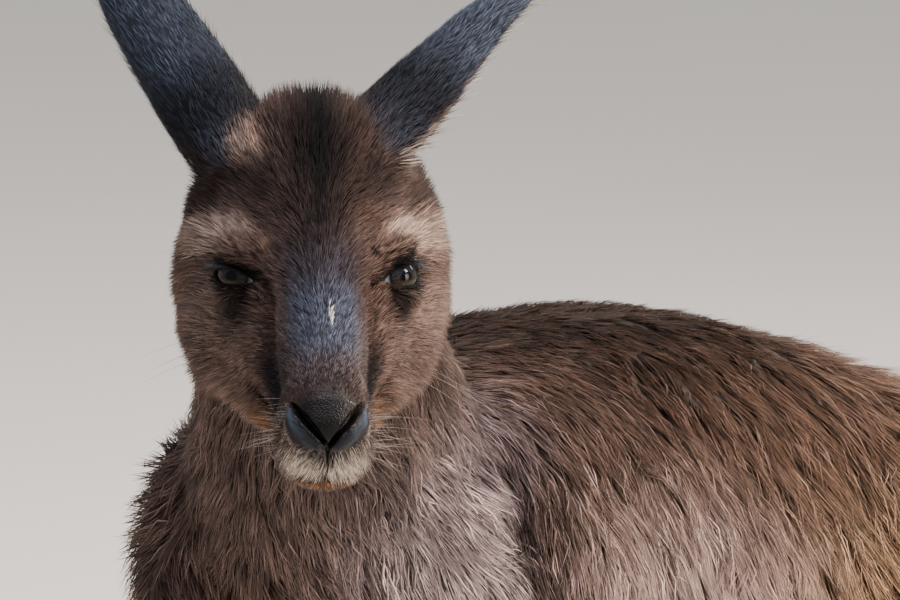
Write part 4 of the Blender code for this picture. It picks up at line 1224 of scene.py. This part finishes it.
def make_stage(colours):
    bpy.ops.mesh.primitive_plane_add(size=40, location=(0, 0, 0))
    floor = bpy.context.object
    floor.name = floor.data.name = "floor"
    material, tree = new_material("pale floor")
    ramp = two_tones(tree, pattern(tree, "TexNoise", 3.0, Detail=3.0), colours.floor, colours.floor_clouds)
    surface(tree, [("Base Color", ramp, "Color")], {"Roughness": 0.8})
    floor.data.materials.append(material)

    world = bpy.data.worlds.new("studio")
    bpy.context.scene.world = world
    world.use_nodes = True
    sky = world.node_tree.nodes["Background"].inputs
    sky["Color"].default_value = (*linear("#ecebe9"), 1)
    sky["Strength"].default_value = 0.60

    head, high = HEAD.translation, Vector((0, 0, 1))
    area_light("key", head + RIGHT * 2.4 + VIEW * 0.7 + high * 1.9, head, 0.7, 145, "#fff0df")
    area_light("overhead", head + high * 2.6 + VIEW * 0.5 - RIGHT * 0.1, head, 1.6, 112, "#f1f3ff")
    behind = head + RIGHT * 1.6 - VIEW * 2.0 + high * 1.5
    area_light("back light", behind, head + RIGHT * 0.15, 0.8, 60, "#fff6ee")
    flank = Vector((0.42, 0.10, 0.34))
    lamp = area_light("flank light", flank + Vector((-0.12, 0.88, 0.20)), flank, 0.8, 2.6, "#fff2e6")
    lamp.spread = math.radians(50)  # a grid keeps it off the head

    place = head + VIEW * DISTANCE + RIGHT * HEAD_LEFT - UP * HEAD_UP
    bpy.ops.object.camera_add(location=place)
    camera = bpy.context.object
    aimed(camera, place, head + RIGHT * HEAD_LEFT - UP * HEAD_UP)
    camera.data.sensor_width = SENSOR
    camera.data.lens = SENSOR * DISTANCE / IMAGE_WIDTH
    camera.data.clip_end = 100
    bpy.context.scene.camera = camera


# ---------------------------------------------------------------- operators
def amount(name, text, value, **settings):
    return bpy.props.FloatProperty(name=name, description=text, default=value, **settings)


def hue(name, text, code):
    return bpy.props.FloatVectorProperty(
        name=name, description=text, subtype="COLOR", size=3, min=0.0, max=1.0, default=linear(code)
    )


class KangarooSizes(bpy.types.PropertyGroup):
    voxel: amount("Skin grain", "Size of the faces that the skin starts from", 0.0024, unit="LENGTH")
    kept: amount("Skin kept", "Share of the faces of the body's skin that are kept", 0.19, subtype="FACTOR")
    head_tufts: bpy.props.IntProperty(name="Head tufts", description="Fine tufts on the head", default=108000)
    body_tufts: bpy.props.IntProperty(name="Body tufts", description="Fine tufts on the body", default=180000)
    locks: bpy.props.IntProperty(name="Locks", description="Longer bent locks on the body", default=16000)


class KangarooColours(bpy.types.PropertyGroup):
    hair: hue("Hair tint", "Multiplied into the colour of all the hair", "#ffffff")
    leather: hue("Nose leather", "Bare leather on top of the nose", "#0f0c0d")
    # Painted highlight: the wings' black leather is coloured blue-grey for the sky's shine on it
    wings: hue("Nose wings", "Bare leather below the nostrils, painted blue-grey as a highlight", "#465160")
    lids: hue("Lids", "Skin and short hair round the eyes", "#0b0807")
    ear_lining: hue("Ear lining", "Thinly haired skin inside the ears", "#7a675e")
    # painted reflection of the sky on the upper half of the iris
    iris_sky_reflection: hue("Iris above", "Upper half of the iris, painted grey-blue as a sky reflection", "#202228")
    iris_below: hue("Iris below", "Lower half of the iris", "#261f16")
    # partly a painted glint: the white of the eye with the wet shine at its inner corner
    eye_white: hue("White of the eye", "Corner of the eyeball towards the nose", "#868e9b")
    lashes: hue("Lashes", "Eyelashes", "#2a2b30")
    whiskers: hue("Whiskers", "Whiskers and bristles of the lips", "#8a7d74")
    claws: hue("Claws", "Horn of the claws", "#161413")
    worn_claws: hue("Worn claws", "Horn where its layers are rubbed pale", "#3b3531")
    floor: hue("Floor", "Studio floor", "#efe9e1")
    floor_clouds: hue("Floor clouds", "Paler clouds on the studio floor", "#f5f0ea")


class KANGAROO_OT_skin(bpy.types.Operator):
    """Draws one skin inside the flesh solids, with lids, nostrils and lips"""

    bl_idname = "kangaroo.skin"
    bl_label = "Skin"

    def execute(self, context):
        skin = make_skin(context.scene.kangaroo_sizes, context.scene.kangaroo_colours)
        dress(skin, kangaroo_skin(), "coat", *FLESH)
        return {"FINISHED"}


class KANGAROO_OT_eyes(bpy.types.Operator):
    """Makes both eyeballs"""

    bl_idname = "kangaroo.eyes"
    bl_label = "Eyes"

    def execute(self, context):
        material = wet_eye()
        for word in SIDES:
            make_eye(word, context.scene.kangaroo_colours, material)
        return {"FINISHED"}


class KANGAROO_OT_single_hairs(bpy.types.Operator):
    """Sets the eyelashes and whiskers"""

    bl_idname = "kangaroo.single_hairs"
    bl_label = "Lashes and whiskers"

    def execute(self, context):
        random = np.random.default_rng(21)
        colours = context.scene.kangaroo_colours
        dress(make_lashes(random), plain_hair("lash", colours.lashes), "coat")
        whiskers = make_whiskers(bpy.data.objects["skin"], random)
        dress(whiskers, plain_hair("whisker", colours.whiskers), "coat")
        return {"FINISHED"}


class KANGAROO_OT_claws(bpy.types.Operator):
    """Rounds the claws of each paw and foot"""

    bl_idname = "kangaroo.claws"
    bl_label = "Claws"

    def execute(self, context):
        material = worn_horn(context.scene.kangaroo_colours)
        for word in SIDES:
            fingers = [f"claw_forepaw_{word}_{i}" for i in range(1, 6)]
            toes = [f"claw_{toe}_toe_{word}" for toe in ("second", "third", "fourth", "fifth")]
            for kind, nodes in (("forepaw", fingers), ("foot", toes)):
                horn = flesh_copy(f"horn_{kind}_{word}", nodes)
                apply(horn, "SUBSURF", levels=2, render_levels=2)
                horn.data.shade_smooth()
                dress(horn, material, "claw", *nodes)
        return {"FINISHED"}


class KANGAROO_OT_coat(bpy.types.Operator):
    """Lays the coat over the skin in tufts and locks"""

    bl_idname = "kangaroo.coat"
    bl_label = "Coat"

    def execute(self, context):
        sizes = context.scene.kangaroo_sizes
        skin = SkinValues(bpy.data.objects["skin"].data, np.array(context.scene.kangaroo_colours.hair))
        hair = kangaroo_hair()
        for name, (look, _, fine, locks) in COATS.items():
            total = sizes.head_tufts if look == "head" else sizes.body_tufts
            chosen = stretch_under(name, skin)
            random = np.random.default_rng(len(name) + ord(name[-1]))
            batches = ((name, int(total * fine), False), (name + "_locks", int(sizes.locks * locks), True))
            for part, count, stepped in batches:
                if count:
                    piece = lay_tufts(part, look, skin, chosen, count, stepped, random)
                    dress(piece, hair, "ear_coat" if look == "ears" else "coat")
        return {"FINISHED"}


class KANGAROO_OT_stage(bpy.types.Operator):
    """Sets the floor, lights and camera"""

    bl_idname = "kangaroo.stage"
    bl_label = "Stage"

    def execute(self, context):
        make_stage(context.scene.kangaroo_colours)
        return {"FINISHED"}


class KANGAROO_PT_panel(bpy.types.Panel):
    bl_idname = "KANGAROO_PT_panel"
    bl_label = "Kangaroo"
    bl_space_type = "VIEW_3D"
    bl_region_type = "UI"
    bl_category = "Kangaroo"

    def draw(self, context):
        for made in STEPS:
            self.layout.operator(made.bl_idname)
        for group in (context.scene.kangaroo_sizes, context.scene.kangaroo_colours):
            for key in group.__annotations__:
                self.layout.prop(group, key)


STEPS = (
    KANGAROO_OT_skin,
    KANGAROO_OT_eyes,
    KANGAROO_OT_single_hairs,
    KANGAROO_OT_claws,
    KANGAROO_OT_coat,
    KANGAROO_OT_stage,
)
CLASSES = (KangarooSizes, KangarooColours, *STEPS, KANGAROO_PT_panel)


def register():
    for made in CLASSES:
        bpy.utils.register_class(made)
    bpy.types.Scene.kangaroo_sizes = bpy.props.PointerProperty(type=KangarooSizes)
    bpy.types.Scene.kangaroo_colours = bpy.props.PointerProperty(type=KangarooColours)


def unregister():
    del bpy.types.Scene.kangaroo_colours
    del bpy.types.Scene.kangaroo_sizes
    for made in reversed(CLASSES):
        bpy.utils.unregister_class(made)


def main():
    register()
    for made in STEPS:
        group, action = made.bl_idname.split(".")
        getattr(getattr(bpy.ops, group), action)()


if __name__ == "__main__":
    main()
